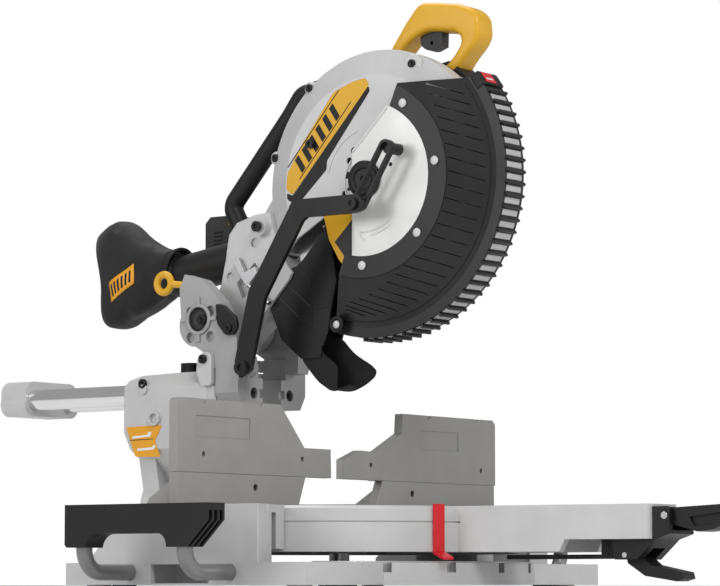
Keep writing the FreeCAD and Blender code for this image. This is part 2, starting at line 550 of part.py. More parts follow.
def make_drive_housings():
    """Gear housing to the right of the guard, motor housing, and end cap."""
    low_right = [(-150, 520), (-176, 596), (-150, 608), (-84, 620), (-20, 621), (30, 596), (90, 520), (140,
                                                                                                       452),
                 (146, 430), (110, 432), (60, 436), (-20, 400), (-80, 402), (-130, 440)]
    casing = plate("YZ", low_right, 24, 36)
    neck = rod(70, 8.4, (15.7, *ARBOR), "X")
    core = plate("YZ", [(-128, 520), (-84, 556), (0, 556), (62, 500), (20, 446), (-20, 412), (-76, 414),
                        (-118, 446)],
                 30, 27)
    holes = [rod(19.05, 30, (10, *ARBOR), "X"), rod("dim.arbor_radius + 0.6", 40, (14, *ARBOR), "X"),
             rod(13, 60, (40, "dim.motor_y", "dim.motor_z"), "X")]
    node("gear_housing", cut(fuse(casing, neck), core, *holes))
    barrel = rod("dim.motor_radius", "dim.motor_long", ("dim.motor_start", "dim.motor_y", "dim.motor_z"),
                 "X")
    inner = rod("dim.motor_radius - 4", "dim.motor_long", ("dim.motor_start + 4", "dim.motor_y",
                                                           "dim.motor_z"), "X")
    mount = block((60.3, -5, 426), (124, 196, 462))
    mount_room = block((64, 30, 430), (120, 192, 458))
    fins = []
    for step in range(12):
        angle = math.radians(step * 30 + 15)
        y = size("motor_y") + 42 * math.cos(angle)
        z = size("motor_z") + 42 * math.sin(angle)
        fins.append(rod(2.2, 60, (78, y, z), "X"))
    shaft_hole = rod(13, 20, (55, "dim.motor_y", "dim.motor_z"), "X")
    dome = [(152.6, 0), (152.6, 42), (160, 40), (166, 32), (168, 0)]
    wire = Part.makePolygon([Vector(x, radius, 0) for x, radius in dome + dome[:1]])
    cap = Part.Face(wire).revolve(Vector(), Vector(1, 0, 0), 360)
    cap.translate(Vector(0, size("motor_y"), size("motor_z")))
    vents = [block((150, -15 + shift - 1.5, 480), (172, -15 + shift + 1.5, 530)) for shift in (-20, -12,
                                                                                               -4, 4, 12,
                                                                                               20)]
    backing = rod(38, 4, (152.6, "dim.motor_y", "dim.motor_z"), "X")
    body = cut(fuse(barrel, mount), inner, mount_room, shaft_hole, *fins)
    node("motor_housing", fuse(body, cut(free(cap), *vents), backing))


def make_handles():
    """Operating handle in two halves, its trigger, and the carrying loop."""
    outer = [(-36, 621.2), (-79, 677), ((-93, 694), (-106, 699)), (-155, 692), ((-174, 685), (-185, 674)),
             ((-188, 658), (-181, 641)), (-152, 608.6), (-126, 613.6), (-147, 627),
             ((-160, 646), (-150, 659)), (-112, 664), ((-97, 660.5), (-83, 652)), (-66, 633), (-56, 621.2)]
    middle = size("handle_x")
    half = size("handle_wide") / 2
    left = plate("YZ", outer, middle - half, half - 0.1)
    right = plate("YZ", outer, middle + 0.1, half - 0.1)
    room = block((middle - 7.3, -130, 635), (middle + 7.3, -94, 682))
    node("handle_halves", group(*[cut(piece, room) for piece in (left, right)]))
    trigger = plate("YZ", [(-96, 678), (-96, 650), ((-104, 643), (-116, 641)), (-127, 645), (-128, 678)],
                    34, 14)
    node("trigger", cut(trigger, rod(2.5, 20, (30, -112, 650), "X")))
    route = [(38, -4, 612), (38, 30, 616), (38, 84, 606), (38, 104, 580), (38, 196, 476), (38, 176, 440),
             (38, 150, 436)]
    loop = bent_tube(route, size("loop_radius"), 15)
    ends = block((24, -16, 612), (60, 10, 640))
    trim = plate("YZ", [(-150, 520), (-176, 596), (-150, 608), (-84, 620), (-20, 621), (30, 596), (90, 520),
                        (140, 452), (146, 430), (110, 432), (60, 436), (-20, 400), (-130, 440)], 23.9, 36.3)
    node("top_carry_handle", cut(free(loop), trim, block((20, 140, 420), (60, 152, 452))))


def make_dust_parts():
    """Chute behind the blade, its flap, and the duct and bag at the rear."""
    shape = [(80, 379), (92, 340), (74, 300), (44, 276), (16, 276), (2, 318), (0, 334), (-8, 366), (-1,
                                                                                                    413),
             (8, 432), (18, 420), (46, 391)]
    outside = plate("YZ", shape, -17.5, 35)
    inside = plate("YZ", [(77, 376), (88, 340), (71, 303), (42, 280), (16, 270), (-40, 270), (-40, 440),
                          (6, 440), (18, 415), (46, 387)], -15, 30)
    arm_room = plate("YZ", [(60, 372), (20, 436), (60, 480), (170, 450), (160, 330), (100, 330)], -22.4,
                     46.4)
    clear = rod(66, 100, (-50, *PIVOT), "X")
    fence_room = block((-30, -1.6, 200), (30, 14, 290))
    blade_room = rod("dim.blade_radius + 2", 12, (-6, *ARBOR), "X")
    node("dust_chute", cut(outside, inside, arm_room, clear, fence_room, blade_room))
    flap = plate("YZ", [(15, 275), (44, 275.8), (40, 258), (15, 247)], -17, 31)
    flap_inside = plate("YZ", [(14, 276), (41, 277), (37, 260.5), (15, 250.5)], -14.5, 26)
    node("chute_flap", cut(flap, flap_inside))
    direction = (0, 1, -0.16)
    tube = rod("dim.duct_radius", 104, (0, 153, 404), direction)
    bore = rod("dim.duct_radius - 3", 120, (0, 148, 404.8), direction)
    collar = rod("dim.duct_radius + 3", 10, (0, 240, 390.1), direction, hole="dim.duct_radius - 1")
    trim = plate("YZ", [(140, 298), (186, 306), (180, 340), (164, 372), (158.2, 400), (152.2, 440), (140,
                                                                                                     446)],
                 -24, 48)
    node("dust_duct", cut(fuse(tube, collar), bore, trim))
    bag_side = [(258, 366), (262, 412), ((300, 440), (337, 463)), (376, 444), ((380, 388), (370, 332)),
                (357, 328), (300, 346)]
    bag = plate("YZ", bag_side, -38, 76)
    neck_room = rod("dim.duct_radius + 3.4", 60, (0, 210, 394.9), direction)
    node("dust_bag", cut(bag, neck_room))


def make_battery():
    """Battery pack with its rails, and the latch button in its top pocket."""
    x = size("battery_x")
    pack = plate("YZ", [(198, 418), (198, 462), (206, 468), (244, 468), (252, 460), (252, 422), (244, 414),
                        (204, 414)],
                 x - 37, "dim.battery_wide")
    rails = [block((x + side * 24 - 3, 196.4, 436), (x + side * 24 + 3, 204, 452)) for side in (-1, 1)]
    pocket = block((x - 20, 238, 452), (x + 20, 248, 472))
    node("battery_pack", cut(fuse(pack, *rails), pocket))
    node("battery_latch_button", block((x - 19, 239, 454), (x + 19, 247, 470.5)))


def make_lower_guard():
    """Ribbed guard that turns about the arbor hub, with its cheek disc, rivets and slotted link."""
    rim = size("rim_radius")
    first_angle, last_angle = -109, 67
    section = [(-38, 91.5), (-38, 117), (-19, 174), (-19, rim), (20, rim), (20, 96), (18, 96), (18,
                                                                                                rim - 3),
               (-16.5, rim - 3), (-16.5, 173), (-35.5, 116), (-35.5, 91.5)]
    shell = turned(section, last_angle - first_angle, first_angle, ARBOR)
    level = ARBOR[1] + 110.5
    above = block((-60, ARBOR[0] - 200, level), (40, ARBOR[0] - 30, level + 100))
    windows = []
    ribs = []
    window_step = 4.3
    for step in range(30):
        degrees = -97 + step * window_step
        y, z = polar(rim - 8, degrees, ARBOR)
        slot = Part.makeBox(25, 16, 6.4, Vector(-12, -8, -3.2))
        slot.rotate(Vector(), Vector(1, 0, 0), -degrees)
        slot.translate(Vector(0, y, z))
        windows.append(slot)
        between = degrees + window_step / 2
        y, z = polar(rim + 0.5, between, ARBOR)
        rib = Part.makeBox(33, 5, 4.4, Vector(-15, -2.5, -2.2))
        rib.rotate(Vector(), Vector(1, 0, 0), -between)
        rib.translate(Vector(0, y, z))
        ribs.append(rib)
    boss_y, boss_z = polar(175.5, -106, ARBOR)
    boss = rod(8, 26, (-27, boss_y, boss_z), "X")
    slits = []
    for step in range(24):
        degrees = -94 + step * 5.6
        y, z = polar(160, degrees, ARBOR)
        ahead = 160 * math.cos(math.radians(degrees + 18))
        spare = ahead ** 2 + 119 ** 2 - 160 ** 2
        reach = ahead - math.sqrt(spare) if spare > 0 else 52
        slit = Part.makeBox(30, min(reach, 52, 28 + 2.7 * (degrees + 94)), 1.1, Vector(-45, 0, -0.55))
        slit.rotate(Vector(), Vector(1, 0, 0), 18)
        slit.translate(Vector(0, y, z))
        slits.append(slit)
    body = cut(shell, free(Part.makeCompound(windows)), free(Part.makeCompound(slits)), above)
    hollow_boss = cut(boss, rod(rim - 10, 100, (-50, *ARBOR), "X"))
    node("lower_guard_shell", fuse(body, free(Part.makeCompound(ribs)), hollow_boss))
    disc = rod("dim.cheek_radius", "dim.cheek_thick", ("dim.cheek_x", *ARBOR), "X")
    hub_hole = rod("dim.cheek_hole", 20, (-48, *ARBOR), "X")
    edge = ARBOR[0] + 19
    behind = plate("YZ", [(edge, ARBOR[1] - 120), (edge, ARBOR[1] + 36), (ARBOR[0] - 46, ARBOR[1] + 100),
                          (edge + 100, ARBOR[1] + 100), (edge + 100, ARBOR[1] - 120)], -60, 40)
    drop = rod(2.5, 20, (-48, *polar(40, 22, ARBOR)), "X")
    node("guard_cheek", cut(disc, hub_hole, behind, drop))
    rivet_angles = (57, 8, -42, -92)
    node("guard_rivets", group(*[fuse(rod(5, 1.8, (-39.8, *polar(102, a, ARBOR)), "X"),
                                      rod(2.4, 3, (-39, *polar(102, a, ARBOR)),
                                          "X")) for a in rivet_angles]))
    low = (ARBOR[0] - 10, ARBOR[1] - 31)
    high = (ARBOR[0] - 49, ARBOR[1] + 31)
    along = Vector(high[0] - low[0], high[1] - low[1], 0).normalize()
    side = Vector(-along.y, along.x, 0)

    def lozenge(radius):
        """A slot outline round the line from low to high."""
        a = Vector(*low, 0)
        b = Vector(*high, 0)
        marks = [a + side * radius, a - along * radius, a - side * radius, b - side * radius,
                 b + along * radius,
                 b + side * radius]
        flat = [(mark.x, mark.y) for mark in marks]
        return [flat[0], (flat[1], flat[2]), flat[3], (flat[4], flat[5])]

    link = plate("YZ", lozenge(9.5), -66, 8)
    slot = plate("YZ", lozenge(6), -67, 10)
    foot = rod(7, 22, (-60, *high), "X")
    node("slotted_link", fuse(cut(link, slot), foot))


def make_guard_link():
    """Cranked bar from the bracket to the slot, with its pivot bolt and slot pin."""
    outline = [(94, 252), (77, 262), (56, 346), (0, 434), (-6, 438), (-76, 438), ((-88, 449), (-76, 460)),
               (4, 460),
               ((14, 458), (20, 450)), (80, 356), (101, 272)]
    node("guard_link_bar", plate("YZ", outline, "dim.link_x", "dim.link_thick",
                                 [(size("link_y"), size("link_z"), 5.05), (-75, 449, 4)]))
    node("link_slot_pin", screws([(-67, -75, 449)], 3.9, 7, 4, 7.3, "-X"))


def make_drive():
    """Toothed blade with its flanges on the arbor, and the driven gear meshing with the motor pinion."""
    radius = size("blade_radius")
    thick = size("blade_thick")
    teeth = 60
    points = []
    for tooth in range(teeth):
        start = 360 / teeth * tooth
        points.append(polar(radius, start, ARBOR))
        points.append(polar(radius - 6, start + 1.2, ARBOR))
        points.append(polar(radius - 1.5, start + 5.2, ARBOR))
    disc = plate("YZ", points, -thick / 2, "dim.blade_thick")
    node("saw_blade", cut(disc, rod("dim.arbor_radius + 0.02", 10, (-5, *ARBOR), "X"),
                          *[rod(5, 10, (-5, *polar(100, a, ARBOR)), "X") for a in (30, 120, 210, 300)]))
    flanges = [rod(30, 5, (-6.35, *ARBOR), "X", "dim.arbor_radius + 0.02"),
               rod(30, 5, (1.35, *ARBOR), "X", "dim.arbor_radius + 0.02")]
    bolt = fuse(rod(12, 6, (-12.4, *ARBOR), "X"), rod(20, 2, (-8.4, *ARBOR), "X"))
    node("blade_clamp", group(*flanges, bolt))
    node("arbor_shaft", rod("dim.arbor_radius", 61, (-6, *ARBOR), "X"))
    node("arbor_bearing", rod(19, 8, (16, *ARBOR), "X", "dim.arbor_radius + 0.05"))

    def gear(tooth_count, module, start, wide, centre, turn, hole):
        """A bored spur gear with straight-sided teeth, one of them pointing at the turn angle."""
        outline = []
        pitch = module * tooth_count / 2
        for tooth in range(tooth_count):
            middle = turn + 360 / tooth_count * tooth
            quarter = 90 / tooth_count
            outline.append(polar(pitch - 1.2 * module, middle - quarter * 1.45, centre))
            outline.append(polar(pitch + 0.8 * module, middle - quarter * 0.42, centre))
            outline.append(polar(pitch + 0.8 * module, middle + quarter * 0.42, centre))
            outline.append(polar(pitch - 1.2 * module, middle + quarter * 1.45, centre))
        wheel = plate("YZ", outline, start, wide)
        return cut(wheel, rod(hole, 60, (start - 10, *centre), "X"))

    motor = (size("motor_y"), size("motor_z"))
    spacing = math.dist(ARBOR, motor)
    driven_teeth = 44
    pinion_teeth = 12
    module = spacing * 2 / (driven_teeth + pinion_teeth)
    towards = math.degrees(math.atan2(motor[1] - ARBOR[1], ARBOR[0] - motor[0]))
    node("driven_gear", gear(driven_teeth, module, 34, 12, ARBOR, towards, 15.02))
    pinion = gear(pinion_teeth, module, 33, 14, motor, towards + 180 + 180 / pinion_teeth, 4)
    node("motor_rotor", fuse(pinion, rod(5, 112, (34, *motor), "X"), rod(28, 50, (78, *motor), "X")))


for make in (make_base, make_carry_handles, make_fences, make_turntable, make_miter_controls,
             make_bevel_head,
             make_carriage, make_lock_pin, make_arm, make_upper_guard, make_drive_housings, make_handles,
             make_dust_parts, make_battery, make_lower_guard, make_guard_link, make_drive):
    make()
doc.recompute()

for item in doc.Objects:
    if "Invalid" in item.State or "Error" in item.State:
        raise RuntimeError(f"{item.Name} ({item.Label}) did not build: {item.State}")
for label, item in NODES.items():
    if item.Shape.isNull() or not item.Shape.isValid() or not item.Shape.Solids:
        raise RuntimeError(f"{label} has no valid solid")

os.makedirs("parts", exist_ok=True)
for label, item in NODES.items():
    item.Shape.exportStep(os.path.join("parts", label + ".step"))
    print(f"{label:24s} {len(item.Shape.Solids):3d} solids {item.Shape.Volume / 1000:9.1f} cm3")
print(len(NODES), "nodes")
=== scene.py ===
import json
import math

import bmesh
import bpy
from mathutils import Matrix, Vector

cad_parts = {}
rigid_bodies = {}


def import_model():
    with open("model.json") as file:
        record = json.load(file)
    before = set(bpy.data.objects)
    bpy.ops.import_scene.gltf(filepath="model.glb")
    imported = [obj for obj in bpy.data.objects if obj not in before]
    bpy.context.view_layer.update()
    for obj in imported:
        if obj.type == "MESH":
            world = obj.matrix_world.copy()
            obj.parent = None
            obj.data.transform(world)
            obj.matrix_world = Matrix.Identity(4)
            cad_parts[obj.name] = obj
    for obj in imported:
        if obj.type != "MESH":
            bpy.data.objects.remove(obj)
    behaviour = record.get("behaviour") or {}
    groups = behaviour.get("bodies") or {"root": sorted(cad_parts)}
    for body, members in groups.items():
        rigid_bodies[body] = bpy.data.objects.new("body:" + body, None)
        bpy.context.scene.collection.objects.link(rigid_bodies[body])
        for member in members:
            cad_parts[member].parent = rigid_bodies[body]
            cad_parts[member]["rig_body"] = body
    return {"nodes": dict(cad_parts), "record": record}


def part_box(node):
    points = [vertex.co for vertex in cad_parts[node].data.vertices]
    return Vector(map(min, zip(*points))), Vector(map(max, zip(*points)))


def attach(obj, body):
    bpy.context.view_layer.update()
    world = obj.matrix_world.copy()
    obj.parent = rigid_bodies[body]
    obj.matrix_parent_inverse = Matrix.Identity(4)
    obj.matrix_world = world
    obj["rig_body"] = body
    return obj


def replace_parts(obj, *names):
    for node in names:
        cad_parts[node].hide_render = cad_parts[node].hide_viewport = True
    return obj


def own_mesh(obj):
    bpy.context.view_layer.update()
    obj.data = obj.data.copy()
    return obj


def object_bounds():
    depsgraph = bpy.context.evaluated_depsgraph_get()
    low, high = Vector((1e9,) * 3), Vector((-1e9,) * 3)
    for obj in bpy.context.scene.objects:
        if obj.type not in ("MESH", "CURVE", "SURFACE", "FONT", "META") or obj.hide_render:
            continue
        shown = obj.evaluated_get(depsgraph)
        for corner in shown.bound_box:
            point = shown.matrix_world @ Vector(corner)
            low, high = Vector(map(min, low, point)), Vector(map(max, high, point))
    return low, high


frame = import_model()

# Blender model of the sliding miter saw. Lengths are in millimetres until they reach a mesh, which is
# in metres.
# X runs right along the fence, Y runs back, Z runs up, as in the CAD frame.

MM = 0.001
CAD_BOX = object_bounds()


def centre_of(node):
    """Middle of a CAD node's box, in millimetres."""
    low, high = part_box(node)
    return (low + high) / 2 / MM


def edge_of(node, side, axis):
    """One face of a CAD node's box, in millimetres: side 0 is low, 1 is high; axis 0, 1, 2 is X, Y, Z."""
    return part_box(node)[side][axis] / MM


ARBOR = centre_of("saw_blade")
GUARD_FACE = edge_of("upper_guard", 0, 0)
CHEEK_FACE = edge_of("guard_cheek", 0, 0)
RIM_RADIUS = 186.0
SLIT_END_RADIUS = 160.5
FIRST_SLIT_ANGLE = -94
SLIT_STEP = 5.6
SLIT_COUNT = 24
RIVET_CIRCLE = 102
RIVET_ANGLES = (57, 8, -42, -92)
BOSS_CIRCLE = 175.5
BOSS_ANGLE = -106


def polar(radius, degrees, centre=ARBOR):
    """The (y, z) point at a radius and an angle from the front over the top of a centre."""
    angle = math.radians(degrees)
    return centre[1] - radius * math.cos(angle), centre[2] + radius * math.sin(angle)


# ---------------------------------------------------------------- materials

class Shader:
    """A Principled material whose nodes are added one by one."""

    def __init__(self, name, metal=0.0, coat=0.0, sheen=0.0, specular=0.5):
        self.material = bpy.data.materials.new(name)
        self.material.use_nodes = True
        self.nodes = self.material.node_tree.nodes
        self.links = self.material.node_tree.links
        self.surface = self.nodes["Principled BSDF"]
        self.surface.inputs["Metallic"].default_value = metal
        self.surface.inputs["Specular IOR Level"].default_value = specular
        self.surface.inputs["Coat Weight"].default_value = coat
        self.surface.inputs["Coat Roughness"].default_value = 0.2
        self.surface.inputs["Sheen Weight"].default_value = sheen
        self.where = self.nodes.new("ShaderNodeTexCoord").outputs["Object"]

    def node(self, kind, **inputs):
        """A new node, with each input set to a number or joined to another node's output."""
        made = self.nodes.new(kind)
        for key, value in inputs.items():
            socket = made.inputs[key.replace("_", " ")]
            if isinstance(value, bpy.types.NodeSocket):
                self.links.new(value, socket)
            else:
                socket.default_value = value
        return made

    def noise(self, scale, detail=3.0, stretch=(1, 1, 1)):
        """Soft noise over the object, between 0 and 1."""
        mapping = self.node("ShaderNodeMapping", Vector=self.where, Scale=stretch)
        made = self.node("ShaderNodeTexNoise", Vector=mapping.outputs[0], Scale=scale, Detail=detail)
        return made.outputs["Fac"]

    def spread(self, source, low, high):
        """The source's middle range mapped to low and high."""
        made = self.node("ShaderNodeMapRange", Value=source, From_Min=0.3, From_Max=0.7,
                         To_Min=low, To_Max=high)
        return made.outputs[0]

    def edges(self, radius):
        """0 on flat stretches, rising to 1 on worn corners, and the softened normal."""
        soft = self.nodes.new("ShaderNodeBevel")
        soft.samples = 4
        soft.inputs["Radius"].default_value = radius * MM
        flat = self.nodes.new("ShaderNodeNewGeometry").outputs["Normal"]
        dot = self.nodes.new("ShaderNodeVectorMath")
        dot.operation = "DOT_PRODUCT"
        self.links.new(soft.outputs[0], dot.inputs[0])
        self.links.new(flat, dot.inputs[1])
        worn = self.node("ShaderNodeMapRange", Value=dot.outputs["Value"], From_Min=0.995, From_Max=0.8,
                         To_Min=0.0, To_Max=1.0)
        return worn.outputs[0], soft.outputs[0]

    def colour(self, factor, low, high):
        """A mix of two colours, or of a colour and another node's colour."""
        made = self.nodes.new("ShaderNodeMix")
        made.data_type = "RGBA"
        self.links.new(factor, made.inputs["Factor"])
        for socket, value in ((made.inputs[6], low), (made.inputs[7], high)):
            if isinstance(value, bpy.types.NodeSocket):
                self.links.new(value, socket)
            else:
                socket.default_value = (*value, 1)
        return made.outputs[2]

    def finish(self, colour, rough, height=None, bump=0.2, depth=0.4, normal=None):
        """The material, with its colour, roughness and raised grain joined up."""
        self.links.new(colour, self.surface.inputs["Base Color"])
        self.links.new(rough, self.surface.inputs["Roughness"])
        if height is not None:
            made = self.node("ShaderNodeBump", Strength=bump, Distance=depth * MM, Height=height)
            if normal is not None:
                self.links.new(normal, made.inputs["Normal"])
            self.links.new(made.outputs[0], self.surface.inputs["Normal"])
        return self.material


def shade(colour, factor):
    """The colour made lighter or darker, kept within 1."""
    return tuple(min(1.0, part * factor) for part in colour)


def coated(name, colour, rough=(0.4, 0.52), metal=0.0, grain=700, bump=0.25, depth=0.4, blotch=0.07,
           wear=1.25, corner=0.8, stretch=(1, 1, 1), **extra):
    """Moulded plastic, powder coat, cast or turned metal: mottled colour, fine grain, worn corners."""
    shader = Shader(name, metal, **extra)
    cloud = shader.spread(shader.noise(22, 4.0), 0.0, 1.0)
    worn, soft = shader.edges(corner)
    tone = shader.colour(cloud, shade(colour, 1 - blotch), shade(colour, 1 + blotch))
    tone = shader.colour(worn, tone, shade(colour, wear))
    fine = shader.noise(grain, 3.0, stretch)
    smudge = shader.spread(shader.noise(9, 5.0), *rough)
    return shader.finish(tone, smudge, fine, bump, depth, soft)


def woven(name, colour, thread=0.8):
    """Plain-woven nylon: two crossed sets of threads, a soft sheen and a slightly uneven dye."""
    shader = Shader(name, sheen=0.12, specular=0.25)
    bands = []
    for axis in ("Y", "Z"):
        wave = shader.node("ShaderNodeTexWave", Vector=shader.where, Scale=1000 / thread / 20,
                           Distortion=0.4)
        wave.bands_direction = axis
        bands.append(wave.outputs["Fac"])
    weave = shader.nodes.new("ShaderNodeMath")
    weave.operation = "ADD"
    for socket, band in zip(weave.inputs, bands):
        shader.links.new(band, socket)
    cloud = shader.spread(shader.noise(30, 5.0), 0.0, 1.0)
    tone = shader.colour(cloud, shade(colour, 0.8), shade(colour, 1.25))
    rough = shader.spread(shader.noise(60, 4.0), 0.55, 0.78)
    return shader.finish(tone, rough, weave.outputs[0], 0.12, 0.2)


def brushed_disc(name, colour):
    """Ground steel with fine rings about the arbor."""
    shader = Shader(name, 1.0)
    shift = shader.node("ShaderNodeMapping", Vector=shader.where,
                        Location=tuple(-part * MM for part in ARBOR))
    wave = shader.node("ShaderNodeTexWave", Vector=shift.outputs[0], Scale=260.0, Distortion=1.2,
                       Detail=3.0)
    wave.wave_type = "RINGS"
    wave.rings_direction = "X"
    cloud = shader.spread(shader.noise(14, 4.0), 0.0, 1.0)
    tone = shader.colour(cloud, shade(colour, 0.9), shade(colour, 1.08))
    rough = shader.spread(wave.outputs["Fac"], 0.2, 0.36)
    return shader.finish(tone, rough, wave.outputs["Fac"], 0.08, 0.1)


FINISHES = {
    "cast": coated("PowderCoatCasting", (0.56, 0.56, 0.56), (0.38, 0.5), metal=0.25, grain=420,
                   bump=0.3, depth=0.5, blotch=0.05, wear=1.18, corner=1.4),
    "machined": coated("MachinedAluminium", (0.66, 0.66, 0.65), (0.3, 0.42), metal=0.35, grain=500,
                       bump=0.12, depth=0.2, stretch=(0.08, 1, 1)),
    "fence": coated("FenceAluminium", (0.34, 0.335, 0.325), (0.36, 0.46), metal=0.55, grain=520,
                    bump=0.14, depth=0.25, blotch=0.04, wear=1.3, corner=1.0, stretch=(0.1, 1, 1)),
    "chrome": coated("HardChrome", (0.82, 0.82, 0.83), (0.07, 0.13), metal=1.0, grain=260, bump=0.03,
                     depth=0.1, blotch=0.02, wear=1.05, stretch=(1, 0.05, 1)),
    "steel": coated("ZincSteel", (0.55, 0.55, 0.56), (0.24, 0.36), metal=1.0, grain=600, bump=0.15,
                    depth=0.2, blotch=0.06, wear=1.2),
    "black_steel": coated("BlackOxideSteel", (0.012, 0.012, 0.013), (0.3, 0.42), metal=0.2, grain=600,
                          bump=0.2, depth=0.25, blotch=0.2, wear=2.2, specular=0.35),
    "black_plastic": coated("BlackMoulding", (0.008, 0.008, 0.0085), (0.38, 0.5), metal=0.0,
                            grain=900, bump=0.3, depth=0.3, blotch=0.15, wear=2.2, specular=0.32),
    "guard_plastic": coated("SmokedGuardMoulding", (0.011, 0.011, 0.012), (0.32, 0.44), metal=0.0,
                            grain=900, bump=0.15, depth=0.2, blotch=0.12, wear=2.4, coat=0.05,
                            specular=0.38),
    "yellow_plastic": coated("YellowMoulding", (0.70, 0.38, 0.012), (0.34, 0.46), metal=0.0,
                             grain=900, bump=0.25, depth=0.3, blotch=0.03, wear=1.12, corner=1.2),
    "red_plastic": coated("RedMoulding", (0.62, 0.012, 0.02), (0.25, 0.36), metal=0.0, grain=800,
                          bump=0.15, depth=0.2, blotch=0.05, wear=1.2),
    "dark_grey": coated("DarkGreyMoulding", (0.03, 0.03, 0.031), (0.4, 0.52), metal=0.0, grain=900,
                        bump=0.3, depth=0.3, blotch=0.12, wear=1.6, specular=0.35),
    "rubber": coated("Rubber", (0.010, 0.010, 0.010), (0.62, 0.78), metal=0.0, grain=700, bump=0.35,
                     depth=0.4, blotch=0.2, wear=1.5, specular=0.3),
    "bag_cloth": woven("BagCloth", (0.014, 0.014, 0.015)),
    "blade_steel": brushed_disc("GroundBladeSteel", (0.6, 0.6, 0.61)),
}

FINISHES["window_grey"] = coated("GreyWindowMoulding", (0.50, 0.50, 0.51), (0.32, 0.44), blotch=0.1)
FINISHES["light_plate"] = coated("LightGuardPlate", (0.62, 0.62, 0.62), (0.34, 0.44), metal=0.1,
                                 grain=500, bump=0.1, depth=0.2, blotch=0.03)
FINISHES["white_ink"] = coated("WhiteInk", (0.82, 0.82, 0.82), (0.35, 0.45), blotch=0.03)
FINISHES["orange_ink"] = coated("OrangeInk", (0.80, 0.36, 0.01), (0.35, 0.45), blotch=0.04)
FINISHES["satin_tube"] = coated("SatinTube", (0.24, 0.24, 0.24), (0.34, 0.46), metal=0.6, grain=500,
                                bump=0.1, depth=0.2, blotch=0.05)
# The pivot bracket takes a darker copy of the casting. Its darkness is partly the bracket's own tone and
# partly painted shade.
FINISHES["bracket_cast_and_shade"] = coated("BracketCastingAndPaintedShade", (0.36, 0.36, 0.36), (0.4, 0.52), metal=0.25,
                                  grain=420, bump=0.3, depth=0.5, blotch=0.05, wear=1.3)
OWN_FINISH = {"carry_tubes": "satin_tube", "pivot_bracket": "bracket_cast_and_shade"}

for entry in frame["record"]["subparts"]:
    part = frame["nodes"][entry["node"]]
    for place in part.material_slots:
        place.material = FINISHES[OWN_FINISH.get(entry["node"], entry["material_slot"])]


# ---------------------------------------------------------------- mesh helpers

def piece(name, mesh, body, finish, smooth=False, bevel=0.0):
    """A finished piece: it takes a finish, rides on a body, and may get rounded corners."""
    made = bpy.data.objects.new(name, mesh)
    bpy.context.scene.collection.objects.link(made)
    for polygon in mesh.polygons:
        polygon.use_smooth = smooth
    if bevel:
        rounding = made.modifiers.new("Rounding", "BEVEL")
        rounding.width = bevel * MM
        rounding.segments = 3
        rounding.limit_method = "ANGLE"
        rounding.angle_limit = math.radians(28)
        rounding.harden_normals = False
    mesh.materials.clear()
    mesh.materials.append(FINISHES[finish])
    made["finish"] = finish
    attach(made, body)
    return made


def mesh_from(name, points, faces):
    """A mesh from points in millimetres, with its normals facing out."""
    mesh = bpy.data.meshes.new(name)
    mesh.from_pydata([Vector(point) * MM for point in points], [], faces)
    shape = bmesh.new()
    shape.from_mesh(mesh)
    bmesh.ops.remove_doubles(shape, verts=shape.verts, dist=1e-6)
    bmesh.ops.recalc_face_normals(shape, faces=shape.faces)
    shape.to_mesh(mesh)
    shape.free()
    return mesh


def rounded(corners, radius, steps=5):
    """An outline whose corners are rounded off by arcs of about the radius."""
    points = []
    count = len(corners)
    for index, corner in enumerate(corners):
        here = Vector(corner)
        before = Vector(corners[index - 1])
        after = Vector(corners[(index + 1) % count])
        reach = min(radius, (before - here).length * 0.45, (after - here).length * 0.45)
        start = here + (before - here).normalized() * reach
        end = here + (after - here).normalized() * reach
        for step in range(steps + 1):
            along = step / steps
            first = start.lerp(here, along)
            second = here.lerp(end, along)
            points.append(tuple(first.lerp(second, along)))
    return points


def prism(name, outline, start, end, body, finish, bevel=0.6, axis="X", smooth=False):
    """An outline pushed along an axis. On X it is (y, z) points, on Y (x, z) and on Z (x, y)."""
    order = {"X": lambda a, b, c: (c, a, b),
             "Y": lambda a, b, c: (a, c, b),
             "Z": lambda a, b, c: (a, b, c)}[axis]
    count = len(outline)
    points = [order(a, b, start) for a, b in outline] + [order(a, b, end) for a, b in outline]
    faces = [tuple(range(count)), tuple(range(2 * count - 1, count - 1, -1))]
    for index in range(count):
        after = (index + 1) % count
        faces.append((index, after, count + after, count + index))
    return piece(name, mesh_from(name, points, faces), body, finish, smooth, bevel)


def revolved(name, profile, centre, body, finish, begin=0.0, sweep=360.0, steps=64, bevel=0.0, smooth=True):
    """A closed (x, radius) profile swept about an X axis through centre, from the front over the top."""
    full = sweep >= 360
    rows = steps if full else steps + 1
    points = []
    for row in range(rows):
        angle = begin + sweep * row / steps
        points += [(x, *polar(radius, angle, centre)) for x, radius in profile]
    count = len(profile)
    faces = []
    for row in range(steps):
        here = row * count
        there = (row + 1) % rows * count
        for index in range(count):
            after = (index + 1) % count
            faces.append((here + index, here + after, there + after, there + index))
    if not full:
        faces += [tuple(range(count)), tuple(range(rows * count - 1, (rows - 1) * count - 1, -1))]
    return piece(name, mesh_from(name, points, faces), body, finish, smooth, bevel)


def dome_profile(radius, height, base, direction=-1.0, steps=6):
    """A low button from its edge to its middle, standing on the base plane of an X axis."""
    profile = [(base, 0.01), (base, radius)]
    for step in range(1, steps + 1):
        angle = math.radians(90 * step / steps)
        profile.append((base + direction * height * math.sin(angle), max(radius * math.cos(angle), 0.01)))
    return profile


